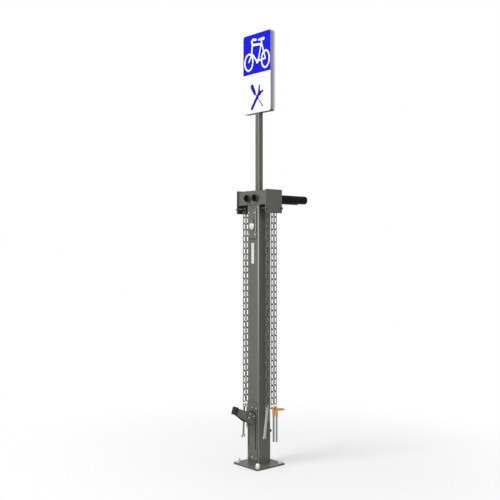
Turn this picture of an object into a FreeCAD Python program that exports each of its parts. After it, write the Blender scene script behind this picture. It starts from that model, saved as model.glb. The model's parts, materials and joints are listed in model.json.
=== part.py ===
"""Public bicycle repair station: a column with a foot pump, six tool chains, two hanging arms and a sign.

Millimetres. +Z is up, the front with the pedal faces -Y, +X is to the right seen from the front.
The origin is the centre of the base plate's underside.
"""
import FreeCAD, Part
import math
import os

V = FreeCAD.Vector
X_AXIS, Y_AXIS, Z_AXIS = V(1, 0, 0), V(0, 1, 0), V(0, 0, 1)

# Clearances
fit = 0.05          # radial play of a shaft or screw in its hole
touch = 0.05        # play between loose metal that hangs on metal
loose = 0.3         # play of a ring, flap or pin that turns on another part

# Base plate and its anchor caps
plate_side = 200.0
plate_t = 8.0
plate_corner_r = 8.0
plate_chamfer = 0.8
anchor_pitch = 160.0
anchor_hole_r = 6.0
cap_r = 11.5
cap_wall = 1.5
cap_h = 26.0

# Column, a square tube
column_w = 90.0
column_wall = 4.0
column_corner_r = 8.0
column_top = 1413.5
column_cap_t = 4.0
column_cap_overhang = 7.0

# Pump cover on the column's front, with two slots for the pedal's cheeks
pump_cover_w = 76.0
pump_cover_t = 5.0
pump_cover_bottom = 30.0
pump_cover_top = 342.0
pump_cover_corner_r = 3.0
pump_screw_x = 33.0
pump_screw_low = 47.0
pump_screw_high = 313.0
pump_opening_w = 66.0
pump_opening_bottom = 62.0
pump_opening_top = 298.0
slot_x = 27.0
slot_w = 6.2
slot_bottom = 91.0
slot_top = 289.0

# Screws of both covers
screw_r = 2.5
screw_head_r = 4.5
screw_head_h = 2.8

# Upper service cover, a shallow pan with a lock
upper_cover_w = 64.0
upper_cover_depth = 7.0
upper_cover_sheet = 2.0
upper_cover_bottom = 1219.0
upper_cover_top = 1380.0
upper_cover_corner_r = 4.0
upper_cover_rounding = 3.0
upper_screw_x = 23.3
upper_screw_low = 1241.5
upper_screw_high = 1357.0
upper_opening_w = 34.0
upper_opening_bottom = 1256.0
upper_opening_top = 1344.0

# Lock on the upper cover: ribbed hinge block, cylinder, and a shield-shaped flap that lifts forward
lock_x = 2.0
hinge_block_w = 25.0
hinge_block_depth = 4.0
hinge_block_top = 1322.0
hinge_pin_z = 1303.5
hinge_pin_r = 1.1
rib_count = 3
rib_w = 4.8
rib_pitch = 8.0
flap_knuckle_w = 2.6
flap_t = 3.0
flap_off_face = 1.0
flap_bulge = 4.0
flap_bulge_r = 14.0
drop_lift = 14.5          # from the middle of the round part up to the straight top
drop_r = 17.6
drop_tip = 1267.0
cylinder_r = 8.0
cylinder_depth = 16.0
key_slot_w = 2.4
key_slot_h = 9.0
key_slot_depth = 8.0
lock_screw_z = 1337.0
lock_screw_r = 1.5
lock_screw_l = 5.0
lock_screw_head_r = 2.6
lock_screw_head_h = 1.4

# Blank label strip on the front
label_w = 21.0
label_bottom = 1085.0
label_top = 1196.0
label_t = 1.0
label_corner_r = 1.5

# Head: two side plates, front and rear plate, top plate, open below
head_outer = 119.0          # outer face of a side plate, from the middle
head_sheet = 4.0
head_depth = 117.0
side_plate_bottom = 1354.0
side_plate_top = 1480.0
side_plate_corner_r = 4.0
head_front_bottom = 1400.0
head_front_top = 1472.5

# Bars that carry the chains, one on each side plate
bar_x = 82.0
bar_z = 1380.0
bar_r = 4.0
bar_leg_y = 52.5
bar_bend_r = 7.0
nut_flats = 13.0
nut_h = 6.0
cap_nut_neck = 1.0
cap_nut_dome_r = 5.6
bar_thread = 9.0

# Hanging arms through the head
arm_x = 32.3
arm_z = 1436.6
arm_r = 19.0
arm_wall = 3.0
arm_front = 64.0
arm_rear = 309.0
sleeve_r = 22.5
sleeve_start = 62.0
plug_depth = 15.0
plug_r = 16.6
plug_t = 2.5
end_cap_t = 7.0
disc_rounding = 0.6         # rounding of a plug's disc or a bolt's head, as a share of its thickness

# Pole and sign
pole_side = 30.0
pole_wall = 2.0
pole_corner_r = 2.5
pole_top = 2290.0
sign_w = 225.0
sign_h = 430.0
sign_over_pole = 38.5
sign_upper_h = 216.5
sign_depth = 31.0
sign_sheet = 2.0
sign_corner_r = 15.0
film_t = 0.4
film_margin = 1.5
clamp_h = 30.0
clamp_t = 2.5
clamp_flange = 22.0
clamp_edge = 90.0
stud_r = 3.0
stud_nut_flats = 10.0
stud_nut_h = 5.0
stud_l = 9.0

# Foot pump inside the column
pump_y = 12.0
barrel_r = 22.0
barrel_wall = 2.5
barrel_bottom = 40.0
barrel_top = 215.0
block_side = 50.0
block_wing = 8.0
block_spigot_h = 8.0
guide_h = 10.0
guide_spigot_h = 10.0
rod_r = 5.0
piston_low_z = 180.0
piston_h = 20.0
piston_play = 0.2
seal_r = 1.6
seal_play = 0.05
rod_socket_h = 16.0
spring_r = 9.0
spring_wire_r = 1.0
spring_turns = 5.0

# Pedal: carriage cheeks go through the slots and carry the arm outside and the crosshead inside
arm_channel_w = 49.0
pedal_tip_w = 22.0
pedal_taper_y = -112.0
arm_channel_t = 4.0
cheek_t = 5.0
pedal_tip_y = -163.0
pedal_tip_z = 325.0
pedal_root_z = 281.5
pedal_tip_low_y = -173.0
pedal_tip_low_z = 293.5
pedal_knee_y = -93.0
pedal_knee_z = 239.8
pedal_root_low_z = 222.0
pedal_end_gap = 4.0
cheek_tip_y = -96.0
cheek_tip_low_y = -110.0
cheek_inset = 3.0           # from the pedal's upper edge to the cheek's
crosshead_depth = 20.0
crosshead_low = 365.0
crosshead_h = 20.0
rod_collar_r = 11.0
rod_collar_h = 4.0
rod_nut_flats = 16.0
rod_nut_h = 8.0
rubber_t = 3.5
rubber_over = 8.0
rubber_wrap = 6.0
rubber_round = 2.0
rubber_rib_count = 3
rubber_rib_r = 1.4
bolt_r = 3.0
bolt_head_r = 5.2
bolt_head_h = 3.4
bolt_places = ((-97.0, 269.0), (-89.0, 289.0), (-62.0, 272.0))

# Air line from the pump to the hose connection at the rear
gland_x = 25.0
gland_z = 177.5
pipe_y = 29.5
pipe_r = 3.0
pipe_bore_r = 1.8
pipe_bend_r = 8.0
pipe_socket = 10.0
pipe_out = 2.0
passage_r = 2.1
gland_neck_r = 8.0
gland_flange_r = 12.0
gland_flange_t = 6.0
gland_nut_t = 2.5
gland_out = 19.0
gland_nozzle_r = 7.0
gland_bore_r = 2.5

# Chains
link_wire = 5.0
link_w = 20.0
link_pitch = 33.4
link_count = 31
top_ring_wire = 4.5
top_ring_inner_r = 7.7
tool_ring_wire = 2.6
tool_ring_inner_r = 9.0
right_chain_ys = (-15.0, 21.0, 44.0)
left_chain_ys = (-35.5, -13.5, 16.0)

# Wrenches: box end above, open jaw below
small_wrench_l = 168.0
small_wrench_size = 9.0
small_wrench_lean = 7.0
large_wrench_l = 187.0
large_wrench_size = 11.0
large_wrench_lean = 2.5
wrench_t = 5.5
wrench_box_share = 0.95     # radius of the box end, as a share of the wrench's size
wrench_jaw_share = 1.1      # radius of the jaw's head
small_shank_share = 1.6     # width of the shank
large_shank_share = 1.0
wrench_web_share = 0.7      # thickness of the shank, as a share of the heads'
wrench_jaw_turn = 15.0

# Hex keys: a bare one, and two with sleeves that share a ring
small_key_flats = 6.0
small_key_l = 68.0
small_key_arm = 22.5
long_key_l = 176.0
long_key_arm = 54.0
long_key_flats = (9.4, 8.6)
long_key_x = (-7.3, 7.3)
long_key_y = (-5.6, 2.5)
key_bend_r = 9.0
key_droop = 8.0
key_sleeve_l = 46.0
key_sleeve_r = 7.2
key_sleeve_gap = 1.5
key_tail_l = 38.0
key_tail_r = 6.5
key_eye_x = (-3.25, 3.25)
key_eye_t = 2.5
eye_r = 6.0
eye_t = 4.0
eye_hole_r = 3.3

# Tyre lever
lever_l = 135.0
lever_w = 13.0
lever_t = 4.5
lever_head = 4.0
lever_end_round = 5.8
lever_notch_r = 3.0
lever_notch_z = 13.0
lever_slot_z = 8.0

# Screwdriver
driver_head = 5.0
driver_handle_l = 92.0
driver_handle_r = 13.0
driver_handle_round = 6.5
driver_neck_t = 6.0
driver_flute_count = 6
driver_flute_r = 5.5
driver_flute_reach = 16.6
driver_flute_l = 55.0
driver_flute_low = 14.0
driver_blade_l = 110.0
driver_blade_r = 3.2
driver_blade_in = 37.0
driver_tip_l = 8.0
driver_tip_t = 1.2

# Places that follow from the sizes above
half_column = column_w / 2
inner_wall = half_column - column_wall
front_face = -half_column
head_inner = head_outer - head_sheet
head_roof_z = head_front_top + head_sheet
sign_top = pole_top + sign_over_pole
sign_bottom = sign_top - sign_h
sign_split = sign_top - sign_upper_h
lock_face = front_face - upper_cover_depth
hinge_pin_y = lock_face - hinge_block_depth
drop_z = hinge_pin_z - rib_w / 2 - loose - drop_lift
top_ring_z = bar_z + bar_r + loose - top_ring_inner_r
chain_top = top_ring_z - top_ring_inner_r
chain_bottom = chain_top - link_count * link_pitch
tool_ring_z = chain_bottom - touch + loose - tool_ring_inner_r
key_level = tool_ring_z - tool_ring_inner_r - tool_ring_wire - key_sleeve_gap - key_sleeve_r


def box(x0, x1, y0, y1, z0, z1):
    return Part.makeBox(x1 - x0, y1 - y0, z1 - z0, V(x0, y0, z0))


def cyl(r, length, base, axis):
    return Part.makeCylinder(r, length, base, axis)


def prism(points, move):
    face = Part.Face(Part.makePolygon(list(points) + [points[0]]))
    return face.extrude(move)


def outline_yz(points, x0, x1):
    return prism([V(x0, y, z) for y, z in points], V(x1 - x0, 0, 0))


def hexagon(flats, length, base, axis):
    """Six-sided bar from base along axis."""
    r = flats / math.sqrt(3)
    points = [V(r * math.cos(math.radians(60 * i)), r * math.sin(math.radians(60 * i)), 0) for i in range(6)]
    bar = prism(points, V(0, 0, length))
    bar.Placement = FreeCAD.Placement(base, FreeCAD.Rotation(Z_AXIS, axis))
    return bar


def edges_along(shape, axis, keep=lambda edge: True):
    """Straight edges parallel to the axis."""
    found = []
    for edge in shape.Edges:
        if isinstance(edge.Curve, Part.Line) and abs(abs(edge.Curve.Direction.dot(axis)) - 1) < 1e-6:
            if keep(edge):
                found.append(edge)
    return found


def rounded_box(x0, x1, y0, y1, z0, z1, r, axis):
    solid = box(x0, x1, y0, y1, z0, z1)
    return solid.makeFillet(r, edges_along(solid, axis))


def square_tube(side, wall, corner_r, z0, z1):
    half, bore = side / 2, side / 2 - wall
    inner_r = max(corner_r - wall, 0.5)
    outer = rounded_box(-half, half, -half, half, z0, z1, corner_r, Z_AXIS)
    return outer.cut(rounded_box(-bore, bore, -bore, bore, z0, z1, inner_r, Z_AXIS))


def leaning(shape, pivot_y, pivot_z_, degrees):
    """Turns a shape about an X-wise line, a positive angle bringing its lower end to the front."""
    turned = shape.copy()
    turned.rotate(V(0, pivot_y, pivot_z_), X_AXIS, -degrees)
    return turned


def shallow_dome(r, height, base, out):
    """Cap of a ball on a round base."""
    ball_r = (r * r + height * height) / (2 * height)
    return Part.makeSphere(ball_r, base - out * (ball_r - height)).common(cyl(ball_r, height, base, out))


def export(shape, name):
    shape.exportStep("parts/" + name + ".step")


def export_group(solids, name):
    export(Part.makeCompound(solids), name)


# Base

def anchor_places():
    half = anchor_pitch / 2
    return [(sx * half, sy * half) for sx in (-1, 1) for sy in (-1, 1)]


def base_plate():
    half = plate_side / 2
    plate = rounded_box(-half, half, -half, half, 0, plate_t, plate_corner_r, Z_AXIS)
    top_edges = [e for e in plate.Edges if min(v.Z for v in e.Vertexes) > plate_t - 1e-6]
    plate = plate.makeChamfer(plate_chamfer, top_edges)
    for x, y in anchor_places():
        plate = plate.cut(cyl(anchor_hole_r, plate_t, V(x, y, 0), Z_AXIS))
    return plate


def dome(r, straight, z0):
    """Upright cylinder with a round top."""
    wall = cyl(r, straight, V(0, 0, z0), Z_AXIS)
    return wall.fuse(Part.makeSphere(r, V(0, 0, z0 + straight))).removeSplitter()


def anchor_caps():
    straight = cap_h - cap_r
    cap = dome(cap_r, straight, plate_t).cut(dome(cap_r - cap_wall, straight, plate_t))
    caps = []
    for x, y in anchor_places():
        one = cap.copy()
        one.translate(V(x, y, 0))
        caps.append(one)
    return caps


# Column and covers

def pump_screw_places():
    return [(x, z) for x in (-pump_screw_x, 0, pump_screw_x) for z in (pump_screw_low, pump_screw_high)]


def upper_screw_places():
    return [(x, z) for x in (-upper_screw_x, upper_screw_x) for z in (upper_screw_low, upper_screw_high)]


def front_holes(shape, places, r):
    for x, z in places:
        shape = shape.cut(cyl(r, column_w, V(x, -column_w, z), Y_AXIS))
    return shape


def column():
    tube = square_tube(column_w, column_wall, column_corner_r, plate_t, column_top)
    reach = front_face - 1
    half_pump = pump_opening_w / 2
    half_upper = upper_opening_w / 2
    tube = tube.cut(box(-half_pump, half_pump, reach, 0, pump_opening_bottom, pump_opening_top))
    tube = tube.cut(box(-half_upper, half_upper, reach, 0, upper_opening_bottom, upper_opening_top))
    tube = front_holes(tube, pump_screw_places() + upper_screw_places(), screw_r + fit)
    start = V(gland_x, inner_wall - column_wall, gland_z)
    return tube.cut(cyl(gland_neck_r + fit, column_wall * 3, start, Y_AXIS))


def column_cap():
    half = half_column + column_cap_overhang
    return box(-half, half, -half_column, half_column, column_top, column_top + column_cap_t)


def slot_cutter(x):
    low, high, r = slot_bottom + slot_w / 2, slot_top - slot_w / 2, slot_w / 2
    start = V(x, front_face - pump_cover_t, low)
    shape = box(x - r, x + r, front_face - pump_cover_t, front_face, low, high)
    shape = shape.fuse(cyl(r, pump_cover_t, start, Y_AXIS))
    return shape.fuse(cyl(r, pump_cover_t, start + V(0, 0, high - low), Y_AXIS))


def pump_cover():
    half = pump_cover_w / 2
    plate = rounded_box(-half, half, front_face - pump_cover_t, front_face,
                        pump_cover_bottom, pump_cover_top, pump_cover_corner_r, Y_AXIS)
    for x in (-slot_x, slot_x):
        plate = plate.cut(slot_cutter(x))
    return front_holes(plate, pump_screw_places(), screw_r + fit)


def front_of(body):
    """Which of the faces lies furthest to the front."""
    places = [face.CenterOfMass.y for face in body.Faces]
    return places.index(min(places))


def upper_cover():
    half, sheet, face = upper_cover_w / 2, upper_cover_sheet, lock_face
    pan = rounded_box(-half, half, face, front_face, upper_cover_bottom, upper_cover_top,
                      upper_cover_corner_r, Y_AXIS)
    pan = pan.makeFillet(upper_cover_rounding, pan.Faces[front_of(pan)].Edges)
    pan = pan.cut(box(-half + sheet, half - sheet, face + sheet, front_face,
                      upper_cover_bottom + sheet, upper_cover_top - sheet))
    for x, z in upper_screw_places():
        pillar = cyl(screw_head_r, upper_cover_depth - sheet, V(x, face + sheet, z), Y_AXIS)
        pan = pan.fuse(pillar)
    pan = front_holes(pan, upper_screw_places(), screw_r + fit)
    pan = front_holes(pan, [(lock_x, lock_screw_z)], lock_screw_r + fit)
    return front_holes(pan, [(lock_x, drop_z)], cylinder_r + fit)


def screw(x, z, face, grip):
    """Domed head on the face, shank through the cover and the column's wall."""
    head = shallow_dome(screw_head_r, screw_head_h, V(x, face, z), V(0, -1, 0))
    return head.fuse(cyl(screw_r, grip + column_wall, V(x, face, z), Y_AXIS)).removeSplitter()


def lock_screw():
    start = V(lock_x, lock_face, lock_screw_z)
    head = shallow_dome(lock_screw_head_r, lock_screw_head_h, start, V(0, -1, 0))
    return head.fuse(cyl(lock_screw_r, lock_screw_l, start, Y_AXIS)).removeSplitter()


def cover_screws():
    low = [screw(x, z, front_face - pump_cover_t, pump_cover_t) for x, z in pump_screw_places()]
    high = [screw(x, z, lock_face, upper_cover_depth) for x, z in upper_screw_places()]
    return low + high + [lock_screw()]


def label_plate():
    return rounded_box(-label_w / 2, label_w / 2, front_face - label_t, front_face,
                       label_bottom, label_top, label_corner_r, Y_AXIS)


# Lock

def hinge_block():
    """Block with three upright ribs, whose lower ends are rounded round the hinge pin."""
    half, r = hinge_block_w / 2, rib_w / 2
    block = box(lock_x - half, lock_x + half, hinge_pin_y, lock_face, hinge_pin_z + r + loose, hinge_block_top)
    first = lock_x - (rib_count - 1) * rib_pitch / 2
    for i in range(rib_count):
        x = first + i * rib_pitch
        block = block.fuse(box(x - r, x + r, hinge_pin_y, lock_face, hinge_pin_z, hinge_block_top))
        block = block.fuse(cyl(r, hinge_block_top - hinge_pin_z, V(x, hinge_pin_y, hinge_pin_z), Z_AXIS))
        block = block.fuse(cyl(r, rib_w, V(x - r, hinge_pin_y, hinge_pin_z), X_AXIS))
    pin_l = (rib_count - 1) * rib_pitch
    return block.fuse(cyl(hinge_pin_r, pin_l, V(first, hinge_pin_y, hinge_pin_z), X_AXIS)).removeSplitter()


def lock_cylinder():
    body = cyl(cylinder_r, cylinder_depth, V(lock_x, lock_face, drop_z), Y_AXIS)
    half_w, half_h = key_slot_w / 2, key_slot_h / 2
    return body.cut(box(lock_x - half_w, lock_x + half_w, lock_face, lock_face + key_slot_depth,
                        drop_z - half_h, drop_z + half_h))


def drop_outline(y):
    """Shield: straight above and at the sides, round below and drawn to a slight point."""
    angle = math.acos(drop_r / (drop_z - drop_tip))
    halfway = (angle + math.pi / 2) / 2
    right = [(drop_r, drop_lift), (drop_r, 0), (drop_r * math.sin(halfway), -drop_r * math.cos(halfway)),
             (drop_r * math.sin(angle), -drop_r * math.cos(angle)), (0, drop_tip - drop_z)]
    top, side, bow, end, tip = [V(lock_x + x, y, drop_z + z) for x, z in right]
    left_top, left_side, left_bow, left_end, tip = [V(lock_x - x, y, drop_z + z) for x, z in right]
    return Part.Face(Part.Wire([
        Part.LineSegment(left_top, top).toShape(), Part.LineSegment(top, side).toShape(),
        Part.Arc(side, bow, end).toShape(), Part.LineSegment(end, tip).toShape(),
        Part.LineSegment(tip, left_end).toShape(), Part.Arc(left_end, left_bow, left_side).toShape(),
        Part.LineSegment(left_side, left_top).toShape()]))


def keyhole_flap():
    """Flap over the keyhole, with a knuckle in each gap between the hinge block's ribs."""
    back = lock_face - flap_off_face
    front = back - flap_t
    flap = drop_outline(back).extrude(V(0, -flap_t, 0))
    flap = flap.fuse(shallow_dome(flap_bulge_r, flap_bulge, V(lock_x, front, drop_z), V(0, -1, 0)))
    first = lock_x - (rib_count - 2) * rib_pitch / 2 - flap_knuckle_w / 2
    for i in range(rib_count - 1):
        x = first + i * rib_pitch
        flap = flap.fuse(box(x, x + flap_knuckle_w, front, back, drop_z + drop_lift, hinge_pin_z))
        flap = flap.fuse(cyl(rib_w / 2, flap_knuckle_w, V(x, hinge_pin_y, hinge_pin_z), X_AXIS))
    pin_start = V(lock_x - hinge_block_w / 2, hinge_pin_y, hinge_pin_z)
    pin_bore = cyl(hinge_pin_r + fit, hinge_block_w, pin_start, X_AXIS)
    return flap.cut(pin_bore).removeSplitter()


# Head

def side_plate(side):
    inner, outer = sorted((side * head_inner, side * head_outer))
    half = head_depth / 2
    plate = rounded_box(inner, outer, -half, half, side_plate_bottom, side_plate_top,
                        side_plate_corner_r, X_AXIS)
    for y in (-bar_leg_y, bar_leg_y):
        plate = plate.cut(cyl(bar_r + fit, head_sheet, V(inner, y, bar_z), X_AXIS))
    return plate


def cross_plate(y0, y1):
    plate = box(-head_inner, head_inner, y0, y1, head_front_bottom, head_front_top)
    for x in (-arm_x, arm_x):
        plate = plate.cut(cyl(arm_r + fit, head_sheet, V(x, y0, arm_z), Y_AXIS))
    return plate


def head_front():
    return cross_plate(front_face - head_sheet, front_face)


def head_rear():
    return cross_plate(half_column, half_column + head_sheet)


def head_top():
    half = half_column + head_sheet
    return box(-head_inner, head_inner, -half, half, head_front_top, head_roof_z)


def swept_round(points, r, bend_r):
    """Round bar along straight runs joined by tangent arcs."""
    edges, start = [], points[0]
    for before, corner, after in zip(points, points[1:], points[2:]):
        into = (before - corner).normalize()
        out = (after - corner).normalize()
        half_turn = math.acos(max(-1, min(1, into.dot(out)))) / 2
        back = bend_r / math.tan(half_turn)
        begin, end = corner + into * back, corner + out * back
        middle_way = (into + out).normalize()
        centre = corner + middle_way * (bend_r / math.sin(half_turn))
        edges.append(Part.LineSegment(start, begin).toShape())
        edges.append(Part.Arc(begin, centre - middle_way * bend_r, end).toShape())
        start = end
    edges.append(Part.LineSegment(start, points[-1]).toShape())
    path = Part.Wire(edges)
    ring = Part.Wire(Part.makeCircle(r, points[0], points[1] - points[0]))
    return path.makePipeShell([ring], True, False)


def chain_bar(side):
    end = side * (head_outer + bar_thread)
    points = [V(end, -bar_leg_y, bar_z), V(side * bar_x, -bar_leg_y, bar_z),
              V(side * bar_x, bar_leg_y, bar_z), V(end, bar_leg_y, bar_z)]
    return swept_round(points, bar_r, bar_bend_r)


def inner_nut(side, y):
    start = side * (head_inner - nut_h)
    nut = hexagon(nut_flats, nut_h, V(start, y, bar_z), V(side, 0, 0))
    return nut.cut(cyl(bar_r + fit, nut_h, V(start, y, bar_z), V(side, 0, 0)))


def cap_nut(side, y):
    start = V(side * head_outer, y, bar_z)
    out = V(side, 0, 0)
    body = hexagon(nut_flats, nut_h, start, out)
    ball = Part.makeSphere(cap_nut_dome_r, start + out * (nut_h + cap_nut_neck))
    tip = cyl(cap_nut_dome_r, nut_h + cap_nut_neck, start, out)
    nut = body.fuse(ball).fuse(tip).common(cyl(nut_flats, nut_h * 3, start, out))
    return nut.cut(cyl(bar_r + fit, bar_thread + fit, start, out)).removeSplitter()


def chain_bar_nuts():
    nuts = []
    for side in (-1, 1):
        for y in (-bar_leg_y, bar_leg_y):
            nuts += [inner_nut(side, y), cap_nut(side, y)]
    return nuts


# Hanging arms

def arm_tube(x):
    outer = cyl(arm_r, arm_front + arm_rear, V(x, -arm_front, arm_z), Y_AXIS)
    return outer.cut(cyl(arm_r - arm_wall, arm_front + arm_rear, V(x, -arm_front, arm_z), Y_AXIS))


def arm_sleeve(x):
    length = arm_rear - sleeve_start
    outer = cyl(sleeve_r, length, V(x, sleeve_start, arm_z), Y_AXIS)
    return outer.cut(cyl(arm_r, length, V(x, sleeve_start, arm_z), Y_AXIS))


def arm_plug(x, end, way, r, thickness):
    """Plastic plug: a stem in the tube's bore and a rounded disc on its end."""
    out = V(0, way, 0)
    base = V(x, end, arm_z)
    disc = cyl(r, thickness, base, out)
    rim = [e for e in disc.Edges if abs(e.CenterOfMass.y - (end + way * thickness)) < 1e-6
           and isinstance(e.Curve, Part.Circle)]
    disc = disc.makeFillet(thickness * disc_rounding, rim)
    stem = cyl(arm_r - arm_wall - fit, plug_depth, base, out * -1)
    return disc.fuse(stem).removeSplitter()


def arm_end_caps():
    front = [arm_plug(x, -arm_front, -1, plug_r, plug_t) for x in (-arm_x, arm_x)]
    rear = [arm_plug(x, arm_rear, 1, sleeve_r, end_cap_t) for x in (-arm_x, arm_x)]
    return front + rear


# Pole and sign

def pole():
    tube = square_tube(pole_side, pole_wall, pole_corner_r, head_roof_z, pole_top - pole_wall)
    half = pole_side / 2
    lid = rounded_box(-half, half, -half, half, pole_top - pole_wall, pole_top, pole_corner_r, Z_AXIS)
    return tube.fuse(lid).removeSplitter()


def sign_back():
    """The sheet's rear face, which lies on the pole."""
    return -pole_side / 2


def sign_tray():
    half = sign_w / 2
    front = sign_back() - sign_sheet
    outer = rounded_box(-half, half, front, front + sign_depth, sign_bottom, sign_top, sign_corner_r, Y_AXIS)
    inner = rounded_box(-half + sign_sheet, half - sign_sheet, sign_back(), front + sign_depth,
                        sign_bottom + sign_sheet, sign_top - sign_sheet, sign_corner_r - sign_sheet, Y_AXIS)
    tray = outer.cut(inner)
    half_pole = pole_side / 2
    return tray.cut(box(-half_pole - fit, half_pole + fit, sign_back(), front + sign_depth,
                        sign_bottom, sign_bottom + sign_sheet))


def sign_film(z0, z1, round_top):
    half = sign_w / 2 - film_margin
    front = sign_back() - sign_sheet
    sheet = box(-half, half, front - film_t, front, z0, z1)
    end = z1 if round_top else z0
    corners = edges_along(sheet, Y_AXIS, lambda e: abs(e.CenterOfMass.z - end) < 1e-6)
    return sheet.makeFillet(sign_corner_r - film_margin, corners)


def clamp_heights():
    return sign_bottom + clamp_edge, sign_top - clamp_edge


def sign_clamp(z):
    """Hat-shaped strap round the pole, its flanges flat on the back of the sign."""
    half, back = pole_side / 2 + fit, sign_back()
    reach = half + clamp_t
    low, high = z - clamp_h / 2, z + clamp_h / 2
    strap = box(-reach, reach, back, reach, low, high).cut(box(-half, half, back, half, low, high))
    for side in (-1, 1):
        x0, x1 = sorted((side * half, side * (reach + clamp_flange)))
        strap = strap.fuse(box(x0, x1, back, back + clamp_t, low, high))
    for x in stud_places():
        strap = strap.cut(cyl(stud_r + fit, clamp_t, V(x, back, z), Y_AXIS))
    return strap.removeSplitter()


def stud_places():
    x = pole_side / 2 + clamp_t + clamp_flange / 2
    return -x, x


def sign_screws():
    studs = []
    for z in clamp_heights():
        for x in stud_places():
            shank = cyl(stud_r, stud_l, V(x, sign_back(), z), Y_AXIS)
            nut = hexagon(stud_nut_flats, stud_nut_h, V(x, sign_back() + clamp_t, z), Y_AXIS)
            studs.append(shank.fuse(nut).removeSplitter())
    return studs


# Pedal and pump

def pedal_top(y):
    """Height of the pedal's straight upper edge."""
    slope = (pedal_tip_z - pedal_root_z) / (front_face - pedal_tip_y)
    return pedal_tip_z - slope * (y - pedal_tip_y)


def pedal_low(y):
    """Height of the pedal's lower edge, which has a knee."""
    if y < pedal_knee_y:
        slope = (pedal_tip_low_z - pedal_knee_z) / (pedal_knee_y - pedal_tip_low_y)
        return pedal_tip_low_z - slope * (y - pedal_tip_low_y)
    slope = (pedal_knee_z - pedal_root_low_z) / (front_face - pedal_knee_y)
    return pedal_knee_z - slope * (y - pedal_knee_y)


def pedal_profile():
    root = front_face - pump_cover_t - pedal_end_gap
    return [(pedal_tip_y, pedal_tip_z), (root, pedal_top(root)), (root, pedal_low(root)),
            (pedal_knee_y, pedal_knee_z), (pedal_tip_low_y, pedal_tip_low_z)]


def channel_hollow():
    """Everything below the channel's web."""
    out, below = pedal_tip_low_y - arm_channel_t, pedal_root_low_z - arm_channel_w
    return [(out, pedal_top(out) - arm_channel_t), (front_face, pedal_top(front_face) - arm_channel_t),
            (front_face, below), (out, below)]


def pedal_bolt_places():
    return [(side, y, z) for side in (-1, 1) for y, z in bolt_places]


def pedal_half(y):
    """Half the channel's width, which narrows towards the tip."""
    share = max(0, (y - pedal_taper_y) / (pedal_tip_low_y - pedal_taper_y))
    return arm_channel_w / 2 - share * (arm_channel_w - pedal_tip_w) / 2


def narrowed(points, less):
    """Side outline given the channel's width all along, less a sheet on both sides."""
    out, root = min(y for y, z in points), max(y for y, z in points)
    low, high = min(z for y, z in points), max(z for y, z in points)
    plan = [(pedal_half(y) - less, y) for y in (root, pedal_taper_y, out)]
    plan += [(-x, y) for x, y in reversed(plan)]
    body = prism([V(x, y, low) for x, y in plan], V(0, 0, high - low))
    return body.common(outline_yz(points, -arm_channel_w, arm_channel_w))


def pedal_arm():
    """Channel folded from sheet, open below, with the web on top."""
    half = arm_channel_w / 2
    arm = narrowed(pedal_profile(), 0).cut(narrowed(channel_hollow(), arm_channel_t))
    for side, y, z in pedal_bolt_places():
        arm = arm.cut(cyl(bolt_r + fit, half, V(0, y, z), V(side, 0, 0)))
    return arm


def pedal_cap():
    """Rubber cap over the outer end of the channel, with ribs on its upper face."""
    along = V(0, pedal_tip_y - front_face, pedal_tip_z - pedal_root_z).normalize()
    down = V(0, pedal_tip_low_y - pedal_tip_y, pedal_tip_low_z - pedal_tip_z)
    depth = down.Length + 2 * rubber_t
    down.normalize()
    half = pedal_half(pedal_tip_y + rubber_wrap) + rubber_t
    top = V(-half, pedal_tip_y, pedal_tip_z) - down * rubber_t
    outer, inner = top + along * rubber_over, top - along * rubber_wrap
    block = prism([outer, outer + down * depth, inner + down * depth, inner], V(2 * half, 0, 0))
    block = block.makeFillet(rubber_round, block.Edges)
    for i in range(rubber_rib_count):
        middle = outer + (inner - outer) * ((i + 0.5) / rubber_rib_count)
        rib = cyl(rubber_rib_r, 2 * (half - rubber_t), middle + V(rubber_t, 0, 0), X_AXIS)
        block = block.fuse(rib)
    return block.cut(narrowed(pedal_profile(), 0)).removeSplitter()


def cheek_profile():
    front, back = pump_y - crosshead_depth / 2, pump_y + crosshead_depth / 2
    shoulder, top = pedal_root_z - cheek_inset, crosshead_low + crosshead_h
    return [(cheek_tip_y, pedal_top(cheek_tip_y) - cheek_inset), (-inner_wall, shoulder), (front, shoulder),
            (front, top), (back, top), (back, pedal_knee_z), (front_face + 2 * column_wall, pedal_root_low_z),
            (front_face, pedal_root_low_z), (pedal_knee_y, pedal_knee_z),
            (cheek_tip_low_y, pedal_low(cheek_tip_low_y))]


def pedal_carriage():
    """Two cheeks that run in the slots, joined by the crosshead above the pump."""
    half = arm_channel_w / 2
    frame = box(-half, half, pump_y - crosshead_depth / 2, pump_y + crosshead_depth / 2,
                crosshead_low, crosshead_low + crosshead_h)
    for side in (-1, 1):
        x0, x1 = sorted((side * half, side * (half + cheek_t)))
        frame = frame.fuse(outline_yz(cheek_profile(), x0, x1))
    frame = frame.cut(cyl(rod_r + fit, crosshead_h, V(0, pump_y, crosshead_low), Z_AXIS))
    for side, y, z in pedal_bolt_places():
        frame = frame.cut(cyl(bolt_r + fit, half + cheek_t, V(0, y, z), V(side, 0, 0)))
    return frame.removeSplitter()


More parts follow.
